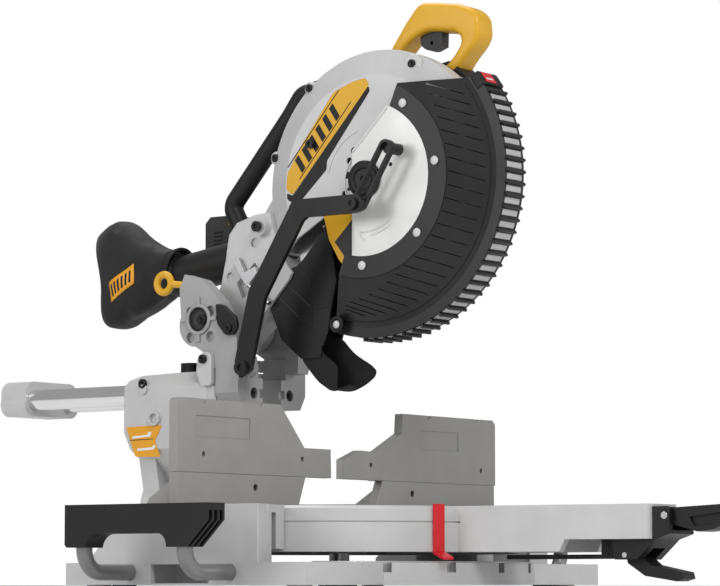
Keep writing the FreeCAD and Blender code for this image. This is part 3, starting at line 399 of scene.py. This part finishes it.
def tube(name, route, radius, body, finish, resolution=8):
    """A round bar along a smooth route."""
    line = bpy.data.curves.new(name, "CURVE")
    line.dimensions = "3D"
    line.bevel_depth = radius * MM
    line.bevel_resolution = 5
    line.resolution_u = resolution
    line.use_fill_caps = True
    path = line.splines.new("BEZIER")
    path.bezier_points.add(len(route) - 1)
    for knot, point in zip(path.bezier_points, route):
        knot.co = Vector(point) * MM
        knot.handle_left_type = "AUTO"
        knot.handle_right_type = "AUTO"
    holder = bpy.data.objects.new(name + "_path", line)
    bpy.context.scene.collection.objects.link(holder)
    mesh = bpy.data.meshes.new_from_object(holder.evaluated_get(bpy.context.evaluated_depsgraph_get()))
    bpy.data.objects.remove(holder)
    mesh.materials.clear()
    return piece(name, mesh, body, finish, True)


def merged(name, pieces):
    """Several pieces of one body and finish joined into the first, with their modifiers applied."""
    shape = bmesh.new()
    graph = bpy.context.evaluated_depsgraph_get()
    for item in pieces:
        part = bpy.data.meshes.new_from_object(item.evaluated_get(graph))
        part.transform(item.matrix_world)
        shape.from_mesh(part)
    mesh = bpy.data.meshes.new(name)
    shape.to_mesh(mesh)
    shape.free()
    body = pieces[0]["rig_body"]
    finish = pieces[0]["finish"]
    smooth = [polygon.use_smooth for polygon in mesh.polygons]
    for item in pieces:
        bpy.data.objects.remove(item)
    made = piece(name, mesh, body, finish)
    mesh.polygons.foreach_set("use_smooth", smooth)
    return made


# ---------------------------------------------------------------- saw head

def make_handle():
    """D-shaped operating handle with rounded edges, and the black cap at its root."""
    middle = centre_of("handle_halves")[0]
    outer = [(-36, 621.2), (-49, 636), (-79, 677), (-96, 696), (-106, 699), (-130, 696), (-155, 692),
             (-174, 685), (-185, 674), (-187, 652), (-181, 641), (-166, 626), (-152, 608.6), (-126, 613.6),
             (-147, 627), (-159, 643), (-159, 652), (-150, 659), (-112, 664), (-98, 660), (-83, 652),
             (-66, 633), (-56, 621.2)]
    outline = rounded(outer, 7)
    line = bpy.data.curves.new("handle_outline", "CURVE")
    line.dimensions = "2D"
    line.fill_mode = "BOTH"
    rim = 6.5
    half_width = 17
    line.extrude = (half_width - rim) * MM
    line.bevel_depth = rim * MM
    line.bevel_resolution = 5
    line.offset = -rim * MM
    path = line.splines.new("POLY")
    path.points.add(len(outline) - 1)
    for knot, (y, z) in zip(path.points, outline):
        knot.co = (y * MM, z * MM, 0, 1)
    path.use_cyclic_u = True
    holder = bpy.data.objects.new("handle_outline", line)
    bpy.context.scene.collection.objects.link(holder)
    mesh = bpy.data.meshes.new_from_object(holder.evaluated_get(bpy.context.evaluated_depsgraph_get()))
    bpy.data.objects.remove(holder)
    mesh.materials.clear()
    turn = Matrix(((0, 0, 1, middle * MM), (1, 0, 0, 0), (0, 1, 0, 0), (0, 0, 0, 1)))
    mesh.transform(turn)
    shape = bmesh.new()
    shape.from_mesh(mesh)
    bmesh.ops.remove_doubles(shape, verts=shape.verts, dist=1e-6)
    bmesh.ops.recalc_face_normals(shape, faces=shape.faces)
    shape.to_mesh(mesh)
    shape.free()
    handle = piece("operating_handle", mesh, "saw_head", "yellow_plastic", True)
    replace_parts(handle, "handle_halves")

    root = [(-114, 614), (-115, 621), (-131, 622), (-145, 624.5), (-160, 612.5), (-171, 598.5),
            (-150, 608.3)]
    prism("handle_root_cap", rounded(root, 4), 25, 57, "saw_head", "black_plastic", 2.0)


def sector(name, inner, outer, left, right, begin, sweep, body, finish, steps=12, bevel=0.6):
    """A block bent round the arbor."""
    profile = [(left, inner), (left, outer), (right, outer), (right, inner)]
    return revolved(name, profile, ARBOR, body, finish, begin, sweep, steps, bevel, False)


def screw_head(name, x, y, z, radius, height, body, finish="black_steel"):
    """A socket screw head on the left side, standing out to -X, with a round recess."""
    profile = [(x, 0.01), (x, radius), (x - height * 0.8, radius), (x - height, radius * 0.86),
               (x - height, radius * 0.5), (x - height * 0.35, radius * 0.46), (x - height * 0.35, 0.01)]
    return revolved(name, profile, (0, y, z), body, finish, steps=24)


def make_lower_guard_details():
    """Rim panes and ribs, seams, slit ends and liner, end cap with its sticker, boss, rivets, cheek marks."""
    body = "lower_guard"
    first_window, window_step, window_count = -97.0, 4.3, 30
    panes = []
    ribs = []
    for step in range(window_count):
        angle = first_window + step * window_step
        panes.append(sector("pane", RIM_RADIUS - 4, RIM_RADIUS + 0.5, -15, 15, angle - 1.1, 2.2, body,
                            "window_grey", 2, 0.5))
        middle = angle + window_step / 2
        ribs.append(sector("rib", RIM_RADIUS - 4, RIM_RADIUS + 4.4, -18.6, 19.6, middle - 0.5, 1.0, body,
                           "guard_plastic", 2, 1.6))
    merged("guard_window_panes", panes)
    merged("guard_rim_ribs", ribs)
    for name, radius, x in (("guard_ring_seam", 117.2, -38.3), ("guard_band_seam", 167.5, -21.6)):
        profile = [(x, radius - 0.6), (x - 0.7, radius), (x, radius + 0.6), (x + 1.2, radius)]
        revolved(name, profile, ARBOR, body, "black_plastic", -107, 146 if radius > 150 else 166, 70)
    dots = []
    for step in range(SLIT_COUNT):
        y, z = polar(SLIT_END_RADIUS, FIRST_SLIT_ANGLE + step * SLIT_STEP)
        if z < ARBOR[2] + 108:
            dots.append(revolved("dot", dome_profile(1.3, 0.9, -23.4), (0, y, z), body, "black_plastic",
                                 steps=12))
    merged("guard_slit_ends", dots)
    liner = [(-34.3, 118.5), (-19.8, 162), (-19.3, 162), (-33.8, 118.5)]
    revolved("guard_slit_liner", liner, ARBOR, body, "guard_plastic", -107, 149, 70)
    sector("guard_end_cap", 176, 189.2, -20.2, 20.6, 32.6, 6.0, body, "black_plastic", 8, 2.0)
    sector("guard_end_sticker", 189.25, 189.6, -15, 6, 33.4, 4.6, body, "red_plastic", 8, 0.0)
    sector("guard_sticker_mark", 189.65, 189.8, -11, 2, 34.6, 0.7, body, "white_ink", 3, 0.0)
    boss = polar(BOSS_CIRCLE, BOSS_ANGLE)
    cup = [(-27, 0.01), (-27, 10), (-30, 10), (-31, 9), (-31, 6), (-29, 5.6), (-29, 0.01)]
    revolved("guard_boss_cup", cup, (0, *boss), body, "black_plastic", steps=32)
    revolved("guard_boss_rivet", dome_profile(5, 2.2, -29), (0, *boss), body, "light_plate", steps=24)
    heads = []
    for angle in RIVET_ANGLES:
        place = (0, *polar(RIVET_CIRCLE, angle))
        heads.append(revolved("rivet", dome_profile(5.4, 1.6, -39.6), place, body, "light_plate", steps=24))
    merged("guard_rivet_heads", heads)
    crest = CHEEK_FACE - 0.7
    ledge = CHEEK_FACE - 0.8
    root = CHEEK_FACE + 0.2
    marks = [sector("mark", 61.5, 63.3, crest, root, -96, 44, body, "light_plate", 20, 0.3),
             sector("mark", 66.5, 68, crest, root, -82, 26, body, "light_plate", 14, 0.3)]
    tip = [(-62, 421), (-58, 415), (-66, 409), (-67.5, 410.5), (-61.5, 415), (-63.5, 420)]
    marks.append(prism("mark", tip, crest, root, body, "light_plate", 0.3))
    edge = ARBOR[1] + 17.8
    rim = [(edge, ARBOR[2] - 84), (edge - 1.6, ARBOR[2] - 84), (edge - 1.6, ARBOR[2] - 26),
           (edge, ARBOR[2] - 26)]
    marks.append(prism("mark", rim, ledge, root, body, "light_plate", 0.3))
    slope = [(ARBOR[1] + 19, ARBOR[2] + 35), (ARBOR[1] - 32, ARBOR[2] + 84),
             (ARBOR[1] - 33.5, ARBOR[2] + 82), (ARBOR[1] + 17, ARBOR[2] + 33)]
    marks.append(prism("mark", slope, ledge, root, body, "light_plate", 0.3))
    merged("cheek_marks", marks)


def make_upper_guard_details():
    """Generic striped band, yellow lower insert, swirl ridges, tab and edge screws of the fixed guard."""
    body = "saw_head"
    face = GUARD_FACE
    yellow = [(59, 480), (57, 500), (36, 532), (-12, 592), (-40, 602), (-60, 605), (-65, 596), (49, 473)]
    prism("band_yellow", rounded(yellow, 4), face - 0.35, face + 0.1, body, "yellow_plastic", 0.0)
    black = [(58, 476), (49, 472), (-64, 595), (-66, 589), (-2, 510), (-2, 500), (38, 464), (48, 463),
             (57, 468)]
    prism("band_black", rounded(black, 3), face - 0.5, face + 0.1, body, "black_plastic", 0.0)
    start = Vector((44, 488))
    along = (Vector((-46, 590)) - start).normalized()
    across = Vector((along.y, -along.x))
    bars = []
    for step in range(6):
        at = start + along * (14 + 15.5 * step)
        corners = [at, at + along * 8, at + along * 13 + across * 19, at + along * 5 + across * 19]
        bars.append(prism("bar", [tuple(point) for point in corners], face - 0.6, face - 0.3, body,
                          "black_plastic", 0.0))
    for shift in (-2.5, 21.5):
        low = start + along * 6 + across * shift
        high = start + along * 122 + across * shift
        strip = [low, high, high + across * 1.1, low + across * 1.1]
        bars.append(prism("bar", [tuple(point) for point in strip], face - 0.6, face - 0.3, body,
                          "black_plastic", 0.0))
    merged("band_bars", bars)
    insert = [(-62, 449), (4, 449), (0, 438), (-6, 415), (-21, 390), (-36, 374), (-62, 377)]
    prism("yellow_insert", rounded(insert, 3), face - 1.0, face + 0.2, body, "yellow_plastic", 0.3)
    wedge = [(-62, 446), (-42, 438), (-15, 412), (-36, 385), (-62, 385)]
    prism("insert_wedge", wedge, face - 1.3, face - 0.9, body, "dark_grey", 0.0)
    ridges = [sector("ridge", 62, 64, face - 1.0, face + 0.2, 108, 60, body, "light_plate", 24, 0.4),
              sector("ridge", 36, 38, face - 1.0, face + 0.2, 120, 110, body, "light_plate", 32, 0.4)]
    merged("guard_ridges", ridges)
    # Black discs, nearly flush with the guard face, where the holes are drilled: painted shade standing in
    # for the holes.
    holes = [(-43, 519, 4.6), (-33, 490.6, 4.2), (-35, 473.8, 2.2)]
    painted_recess_shade = [revolved("painted_recess_shade", [(face - 0.4, 0.01), (face - 0.4, radius), (face + 0.2, radius),
                                  (face + 0.2, 0.01)], (0, y, z), body, "black_plastic", steps=20)
              for y, z, radius in holes]
    merged("guard_drillings_painted_shade", painted_recess_shade)
    tab = [(-136, 618), (-128, 629), (-113, 628), (-104, 612), (-112, 597), (-130, 600)]
    prism("guard_front_tab", rounded(tab, 5), -19.2, -12, body, "cast", 1.2)
    screw_head("guard_tab_screw", -19.2, -121, 617, 5.0, 2.6, body)
    boss_circle = 157
    boss_profile = [(-14, 0.01), (-14, 8), (6, 8), (6, 0.01)]
    for name, y, z in (("guard_edge_screw_1", 28, 596), ("guard_edge_screw_2", 77, 520)):
        angle = math.atan2(z - ARBOR[2], y - ARBOR[1])
        y = ARBOR[1] + boss_circle * math.cos(angle)
        z = ARBOR[2] + boss_circle * math.sin(angle)
        revolved(name + "_boss", boss_profile, (0, y, z), body, "cast", steps=28)
        screw_head(name, -14, y, z, 5, 4, body)
    hub = (0, ARBOR[1], ARBOR[2])
    rings = [(-42, 12), (-43.2, 13), (-43.2, 19), (-42, 20.5)]
    revolved("hub_cap_rings", rings, hub, body, "black_plastic")


def make_dust_boot():
    """Raised panels on the dust boot, and the rubber tongue under it."""
    body = "saw_head"
    wall = edge_of("dust_chute", 0, 0)
    panels = [[(78, 378), (50, 389), (29, 373), (27, 312), (50, 322), (66, 300), (74, 306), (89, 340)],
              [(43, 391), (18, 420), (8, 430), (0, 413), (-6, 366), (2, 336), (25, 333), (27, 370)]]
    made = [prism("panel", rounded(outline, 4), wall - 0.55, wall + 0.2, body, "black_plastic", 0.4)
            for outline in panels]
    merged("boot_panels", made)
    lines = []
    for low, high in (((72, 372), (30, 338)), ((82, 356), (48, 326))):
        low, high = Vector(low), Vector(high)
        side = (high - low).normalized().orthogonal() * 0.8
        outline = [tuple(low + side), tuple(high + side), tuple(high - side), tuple(low - side)]
        lines.append(prism("line", outline, wall - 0.62, wall, body, "dark_grey", 0.0))
    merged("boot_ribs", lines)
    left = [(33, 306), (46, 276), (34, 262), (20, 247), (2, 236), (-8, 235), (-8, 266), (15, 283), (27, 303)]
    right = [(33, 300), (30, 262), (7, 237), (-14, 235), (-34, 243), (-47, 252), (-49.5, 259), (-42, 266),
             (-16, 281), (2, 300), (18, 306)]
    walls = [prism("wall", rounded(left, 7), -15.5, -12.5, body, "rubber", 1.0),
             prism("wall", rounded(right, 9), 6.5, 9.5, body, "rubber", 1.0)]
    lower = [(44, 274), (33, 261), (19, 246.5), (4, 237), (-10, 236), (-26, 240)]
    inner = [(y + 0.9, z + 2.6) for y, z in reversed(lower)]
    walls.append(prism("wall", lower + inner, -14.5, 8.5, body, "rubber", 0.6))
    flap = merged("rubber_flap", walls)
    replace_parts(flap, "chute_flap")
    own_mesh(flap)


# Cross-sections of the bag: (distance back, bottom, top, half width).
BAG_STATIONS = [(250, 371, 421, 25), (262, 368, 422, 26.5), (276, 360, 427, 29), (292, 352, 437, 31.5),
                (306, 346, 447, 33), (320, 341, 457, 34.5), (330, 337, 463, 35), (340, 333, 459, 34),
                (350, 331, 452, 32), (358, 332, 448, 28), (363, 339, 441, 21), (365, 353, 425, 12)]


def bag_ring(station, around):
    """Points of one squarish cross-section of the bag, leaning back towards its top."""
    y, low, high, wide = station
    middle, tall = (low + high) / 2, (high - low) / 2
    squarish = 0.62
    lean = 0.10
    ring = []
    for step in range(around):
        angle = 2 * math.pi * step / around
        across, up = math.cos(angle), math.sin(angle)
        x = wide * math.copysign(abs(across) ** squarish, across)
        z = middle + tall * math.copysign(abs(up) ** squarish, up)
        ring.append((x, y + lean * (z - middle), z))
    return ring


def make_bag():
    """Dust bag: a sewn nylon bag, lightly filled and creased towards its cuff."""
    around = 56
    finer = []
    for first, second in zip(BAG_STATIONS, BAG_STATIONS[1:]):
        for step in range(3):
            finer.append([a + (b - a) * step / 3 for a, b in zip(first, second)])
    finer.append(BAG_STATIONS[-1])
    points = []
    for station in finer:
        points += bag_ring(station, around)
    faces = []
    for row in range(len(finer) - 1):
        for step in range(around):
            after = (step + 1) % around
            faces.append((row * around + step, row * around + after, (row + 1) * around + after,
                          (row + 1) * around + step))
    faces.append(tuple(reversed(range(around))))
    faces.append(tuple(range((len(finer) - 1) * around, len(finer) * around)))
    mesh = mesh_from("dust_bag_cloth", points, faces)
    bag = piece("dust_bag_cloth", mesh, "saw_head", "bag_cloth", True)
    relax_cloth(bag, 4.0)
    crease(bag)
    smoothing = bag.modifiers.new("Smoothing", "SUBSURF")
    smoothing.levels = smoothing.render_levels = 1
    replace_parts(bag, "dust_bag")
    make_bag_trim(bag)


def relax_cloth(bag, cap):
    """A short cloth run under slight pressure, with every point held within the cap of where it began."""
    start = [vertex.co.copy() for vertex in bag.data.vertices]
    cuff_end = 0.262
    last_frame = 16
    held = bag.vertex_groups.new(name="cuff")
    held.add([index for index, place in enumerate(start) if place.y < cuff_end], 1.0, "ADD")
    cloth = bag.modifiers.new("Cloth", "CLOTH")
    cloth.settings.vertex_group_mass = "cuff"
    cloth.settings.use_pressure = True
    cloth.settings.uniform_pressure_force = 3.0
    cloth.settings.tension_stiffness = 12
    cloth.settings.shrink_min = -0.04
    cloth.settings.effector_weights.gravity = 0.0
    cloth.point_cache.frame_start = 1
    cloth.point_cache.frame_end = last_frame
    for number in range(1, last_frame + 1):
        bpy.context.scene.frame_set(number)
    graph = bpy.context.evaluated_depsgraph_get()
    settled = [vertex.co.copy() for vertex in bag.evaluated_get(graph).data.vertices]
    bag.modifiers.remove(cloth)
    bpy.context.scene.frame_set(1)
    for vertex, before, after in zip(bag.data.vertices, start, settled):
        move = after - before
        if move.length > cap * MM:
            move *= cap * MM / move.length
        vertex.co = before + move
    bag.vertex_groups.remove(held)


def crease(bag):
    """Folds that fan out from the cuff, a sag low on the side, and a slightly uneven surface."""
    for vertex in bag.data.vertices:
        x, y, z = vertex.co / MM
        back = max(0.0, min(1.0, (y - 262) / 60))
        fade = max(0.0, 1 - abs(y - 305) / 60)
        angle = math.atan2(z - 392, x)
        folds = 1.7 * math.sin(7 * angle + 0.03 * y) * fade + 1.1 * math.sin(3 * angle + 0.11 * y) * back
        dent = 3.2 * math.exp(-((y - 345) ** 2 + (z - 372) ** 2) / 700) * back
        dent += 2.6 * math.exp(-((y - 318) ** 2 + (z - 425) ** 2) / 420) * back
        side = Vector((x / 36, 0, (z - 394) / 66))
        if side.length > 0:
            side.normalize()
        vertex.co += (side * (folds * back) - Vector((math.copysign(dent, x), 0, 0))) * MM
    bag.data.update()


def make_bag_trim(bag):
    """Cuff and the plain stitched patch."""
    middle, tilt = 395.5, -0.16
    profile = [(-5, 25.0), (-6, 27.6), (-3, 28.8), (3, 28.8), (6, 27.6), (5, 25.0)]
    points = []
    steps = 48
    for step in range(steps):
        angle = 2 * math.pi * step / steps
        for offset, radius in profile:
            points.append((radius * math.cos(angle), 252 + offset + tilt * radius * math.sin(angle),
                           middle + radius * math.sin(angle) + offset * tilt))
    faces = []
    count = len(profile)
    for step in range(steps):
        after = (step + 1) % steps
        for index in range(count):
            beside = (index + 1) % count
            faces.append((step * count + index, step * count + beside, after * count + beside,
                          after * count + index))
    piece("bag_cuff", mesh_from("bag_cuff", points, faces), "saw_head", "rubber", True)
    graph = bpy.context.evaluated_depsgraph_get()
    body = bag.evaluated_get(graph)

    def on_side(y, z, lift):
        """The point of the bag's left side at (y, z), lifted off the cloth."""
        hit, place, normal, _ = body.ray_cast(Vector((-0.2, y * MM, z * MM)), Vector((1, 0, 0)))
        return (place + normal * lift * MM) / MM if hit else Vector((-40, y, z))

    corners = [Vector(corner) for corner in ((335, 383), (295, 405), (294, 380), (334, 359))]

    def patch(name, across, up, finish, lift):
        """A thin quad of the patch between two fractions across and two up, laid on the cloth."""
        columns, rows = 12, 6
        grid = []
        for layer in (lift, lift - 0.5):
            for row in range(rows + 1):
                for column in range(columns + 1):
                    u = across[0] + (across[1] - across[0]) * column / columns
                    v = up[0] + (up[1] - up[0]) * row / rows
                    top = corners[0].lerp(corners[1], u)
                    low = corners[3].lerp(corners[2], u)
                    y, z = low.lerp(top, v)
                    grid.append(on_side(y, z, layer))
        wide = columns + 1
        layer_size = wide * (rows + 1)
        quads = []
        for row in range(rows):
            for column in range(columns):
                a = row * wide + column
                quad = (a, a + 1, a + 1 + wide, a + wide)
                quads.append(quad)
                quads.append(tuple(layer_size + index for index in reversed(quad)))
        rim = [*range(wide), *[row * wide + columns for row in range(1, rows + 1)],
               *[rows * wide + column for column in range(columns - 1, -1, -1)],
               *[row * wide for row in range(rows - 1, 0, -1)]]
        for index, here in enumerate(rim):
            after = rim[(index + 1) % len(rim)]
            quads.append((here, after, layer_size + after, layer_size + here))
        return piece(name, mesh_from(name, grid, quads), "saw_head", finish, True)

    patch("bag_patch", (0, 1), (0, 1), "orange_ink", 0.9)
    bars = []
    for step in range(6):
        start = 0.08 + 0.145 * step
        bars.append(patch("bar", (start, 0.15 + 0.145 * step), (0.2, 0.8), "bag_cloth", 1.2))
    merged("bag_patch_bars", bars)


def make_bracket_details():
    """Cast ring, spokes, painted shade in the recess and screw on the pivot bracket, and its stop plate."""
    left = edge_of("pivot_bracket", 0, 0)
    centre = (0, 163, 326)
    # The ring and spokes take the darker bracket casting, whose darkness is partly painted shade.
    ring = [(left, 14.5), (left - 3, 15), (left - 3, 18.5), (left, 19.5)]
    spokes = [revolved("ring", ring, centre, "carriage", "bracket_cast_and_shade", steps=48)]
    hub_edge, spoke_end = 17, 28
    for turn in range(4):
        angle = math.pi / 2 * turn
        out = Vector((math.cos(angle), math.sin(angle)))
        side = Vector((-out.y, out.x)) * 2.2
        base = Vector((centre[1], centre[2]))
        tips = [base + out * hub_edge + side, base + out * spoke_end + side,
                base + out * spoke_end - side, base + out * hub_edge - side]
        outline = [tuple(tip) for tip in tips]
        spokes.append(prism("spoke", outline, left - 2.5, left + 1, "carriage", "bracket_cast_and_shade", 0.6))
    merged("bracket_web", spokes)
    # A flat dark grey disc inside the ring, nearly flush with the face: painted shade standing in for the
    # recess.
    painted_recess_shade = [(left - 0.4, 0.01), (left - 0.4, 14.4), (left + 0.5, 14.4), (left + 0.5, 0.01)]
    revolved("bracket_recess_painted_shade", painted_recess_shade, centre, "carriage", "dark_grey", steps=32)
    screw_head("bracket_screw", left - 0.3, 157, 325, 6.5, 4, "carriage")
    plate = [(134, 343), (122, 342), (102, 326), (99.5, 313), (106, 304.5), (119, 304.5), (131, 319)]
    prism("bracket_stop_plate", rounded(plate, 4), left - 5.5, left, "carriage", "black_steel", 1.2)
    screw_head("stop_plate_screw", left - 5.3, 113, 312.5, 5.5, 3.4, "carriage", "black_plastic")


def make_spring():
    """Wound torsion spring round its sleeve."""
    low, high = (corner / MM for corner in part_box("torsion_spring"))
    middle = (low + high) / 2
    turns, wire, radius, per_turn = 5, 2.1, 20.8, 24
    sleeve = [(low.x, 17.8), (low.x, 18.6), (high.x, 18.6), (high.x, 17.8)]
    made = [revolved("sleeve", sleeve, (0, middle.y, middle.z), "carriage", "black_steel", steps=48)]
    path = []
    steps = per_turn * turns
    for step in range(steps + 1):
        angle = 2 * math.pi * step / per_turn
        x = low.x + wire + (high.x - low.x - 2 * wire) * step / steps
        path.append((x, middle.y + radius * math.cos(angle), middle.z + radius * math.sin(angle)))
    made.append(tube("coil", path, wire, "carriage", "black_steel"))
    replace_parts(merged("spring_coil", made), "torsion_spring")


def make_housing_details():
    """Generic pictogram plate, lug and screws of the tilting housing."""
    body = "bevel_head"
    left = edge_of("bevel_housing", 0, 0)
    flat = -70.0
    outline = [(274, 198.5), (217, 199.5), (228, 180), (219, 161), (259, 162)]
    prism("label_plate", rounded(outline, 2), flat - 0.6, flat + 0.2, body, "orange_ink", 0.0)
    shapes = [[(264, 187), (240, 188.5), (238, 192), (233, 191.5), (235, 186), (264, 184)],
              [(256, 172), (232, 173), (230, 176), (226, 174), (230, 170), (256, 169)],
              [(268, 182.6), (230, 183.4), (230, 182.6), (268, 181.8)]]
    inks = [prism("ink", shape, flat - 0.85, flat - 0.55, body, "white_ink", 0.0) for shape in shapes[:2]]
    merged("label_figures", inks)
    prism("label_rule", shapes[2], flat - 0.85, flat - 0.55, body, "black_plastic", 0.0)
    lug = [(163, 262), (161, 277), (152, 286), (142, 285), (139, 276), (139, 245), (156, 244)]
    prism("housing_lug", rounded(lug, 4), left + 2, -56, body, "cast", 1.4)
    screw_head("housing_lug_screw", left + 2.2, 151, 277, 5.5, 4.5, body)
    screw_head("housing_side_screw", flat, 247, 251, 6, 4, body)


def make_scale():
    """Degree marks on the ring in front of the turntable."""
    top = edge_of("miter_detent_ring", 1, 2)
    ticks = []
    for degree in range(-50, 51):
        turn = math.radians(degree)
        out = Vector((math.sin(turn), -math.cos(turn)))
        side = Vector((-out.y, out.x)) * 0.22
        reach = 228.6 if degree % 5 == 0 else 227.0
        corners = [out * 223 + side, out * reach + side, out * reach - side, out * 223 - side]
        ticks.append(prism("tick", [tuple(corner) for corner in corners], top - 0.05, top + 0.12, "base",
                           "black_plastic", 0.0, "Z"))
    merged("miter_scale_marks", ticks)


def make_battery_details():
    """Yellow strip and side grip ribs of the battery."""
    low, high = (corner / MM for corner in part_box("battery_pack"))
    strip = [(low.y + 12, high.z - 12), (low.y + 12, high.z + 0.4), (low.y + 18, high.z + 0.4),
             (low.y + 18, high.z - 12)]
    prism("battery_stripe", strip, low.x - 0.4, high.x + 0.4, "battery", "yellow_plastic", 0.3)
    ribs = []
    for step in range(6):
        z = low.z + 8 + step * 5
        line = [(low.y + 28, z), (high.y - 14, z), (high.y - 14, z + 2), (low.y + 28, z + 2)]
        ribs.append(prism("rib", line, low.x - 1.0, low.x + 0.5, "battery", "black_plastic", 0.4))
    merged("battery_grips", ribs)


make_handle()
make_lower_guard_details()
make_upper_guard_details()
make_dust_boot()
make_bag()
make_bracket_details()
make_spring()
make_housing_details()
make_scale()
make_battery_details()


# ---------------------------------------------------------------- stage

def make_stage():
    """Pale floor, soft boxes and the camera."""
    floor = bpy.data.meshes.new("floor")
    floor.from_pydata([(-6, -6, 0), (6, -6, 0), (6, 6, 0), (-6, 6, 0)], [], [(0, 1, 2, 3)])
    ground = bpy.data.objects.new("floor", floor)
    ground.location.z = CAD_BOX[0].z - 0.0005
    bpy.context.scene.collection.objects.link(ground)
    paint = Shader("PaleFloor")
    tone = paint.colour(paint.noise(3, 2.0), (0.86, 0.86, 0.86), (0.88, 0.88, 0.88))
    floor.materials.append(paint.finish(tone, paint.spread(paint.noise(5), 0.6, 0.7)))

    world = bpy.data.worlds.new("Studio")
    bpy.context.scene.world = world
    world.use_nodes = True
    light_sky = world.node_tree.nodes["Background"]
    light_sky.inputs["Color"].default_value = (1, 1, 1, 1)
    light_sky.inputs["Strength"].default_value = 0.36
    seen_sky = world.node_tree.nodes.new("ShaderNodeBackground")
    seen_sky.inputs["Color"].default_value = (1, 1, 1, 1)
    mix = world.node_tree.nodes.new("ShaderNodeMixShader")
    path = world.node_tree.nodes.new("ShaderNodeLightPath")
    join = world.node_tree.links.new
    join(path.outputs["Is Camera Ray"], mix.inputs[0])
    join(light_sky.outputs[0], mix.inputs[1])
    join(seen_sky.outputs[0], mix.inputs[2])
    join(mix.outputs[0], world.node_tree.nodes["World Output"].inputs["Surface"])
    bpy.context.scene.view_settings.view_transform = "Standard"

    soft_boxes = (("Key", (-1.6, -2.2, 2.4), 1.0, 46), ("Side", (-3.0, 1.2, 1.4), 1.6, 26),
                  ("Front", (1.8, -2.8, 1.2), 1.2, 16), ("Top", (0.3, 0.6, 2.6), 1.4, 26),
                  ("Low", (-1.8, -1.6, 0.3), 1.0, 3))
    for name, place, width, power in soft_boxes:
        light = bpy.data.lights.new(name, "AREA")
        light.size = width
        light.energy = power
        holder = bpy.data.objects.new(name, light)
        holder.location = place
        aim = Vector((0, 0, 0.35)) - holder.location
        holder.rotation_euler = aim.to_track_quat("-Z", "Y").to_euler()
        bpy.context.scene.collection.objects.link(holder)

    lens = bpy.data.cameras.new("Camera")
    lens.lens = 152.95
    lens.sensor_width = 36
    camera = bpy.data.objects.new("Camera", lens)
    camera.location = (-2.917, -2.189, 0.008)
    pitch = math.radians(5.42)
    ahead = Vector((0.8039 * math.cos(pitch), 0.5948 * math.cos(pitch), math.sin(pitch)))
    camera.rotation_euler = ahead.to_track_quat("-Z", "Y").to_euler()
    bpy.context.scene.collection.objects.link(camera)
    bpy.context.scene.camera = camera


make_stage()

bpy.context.view_layer.update()
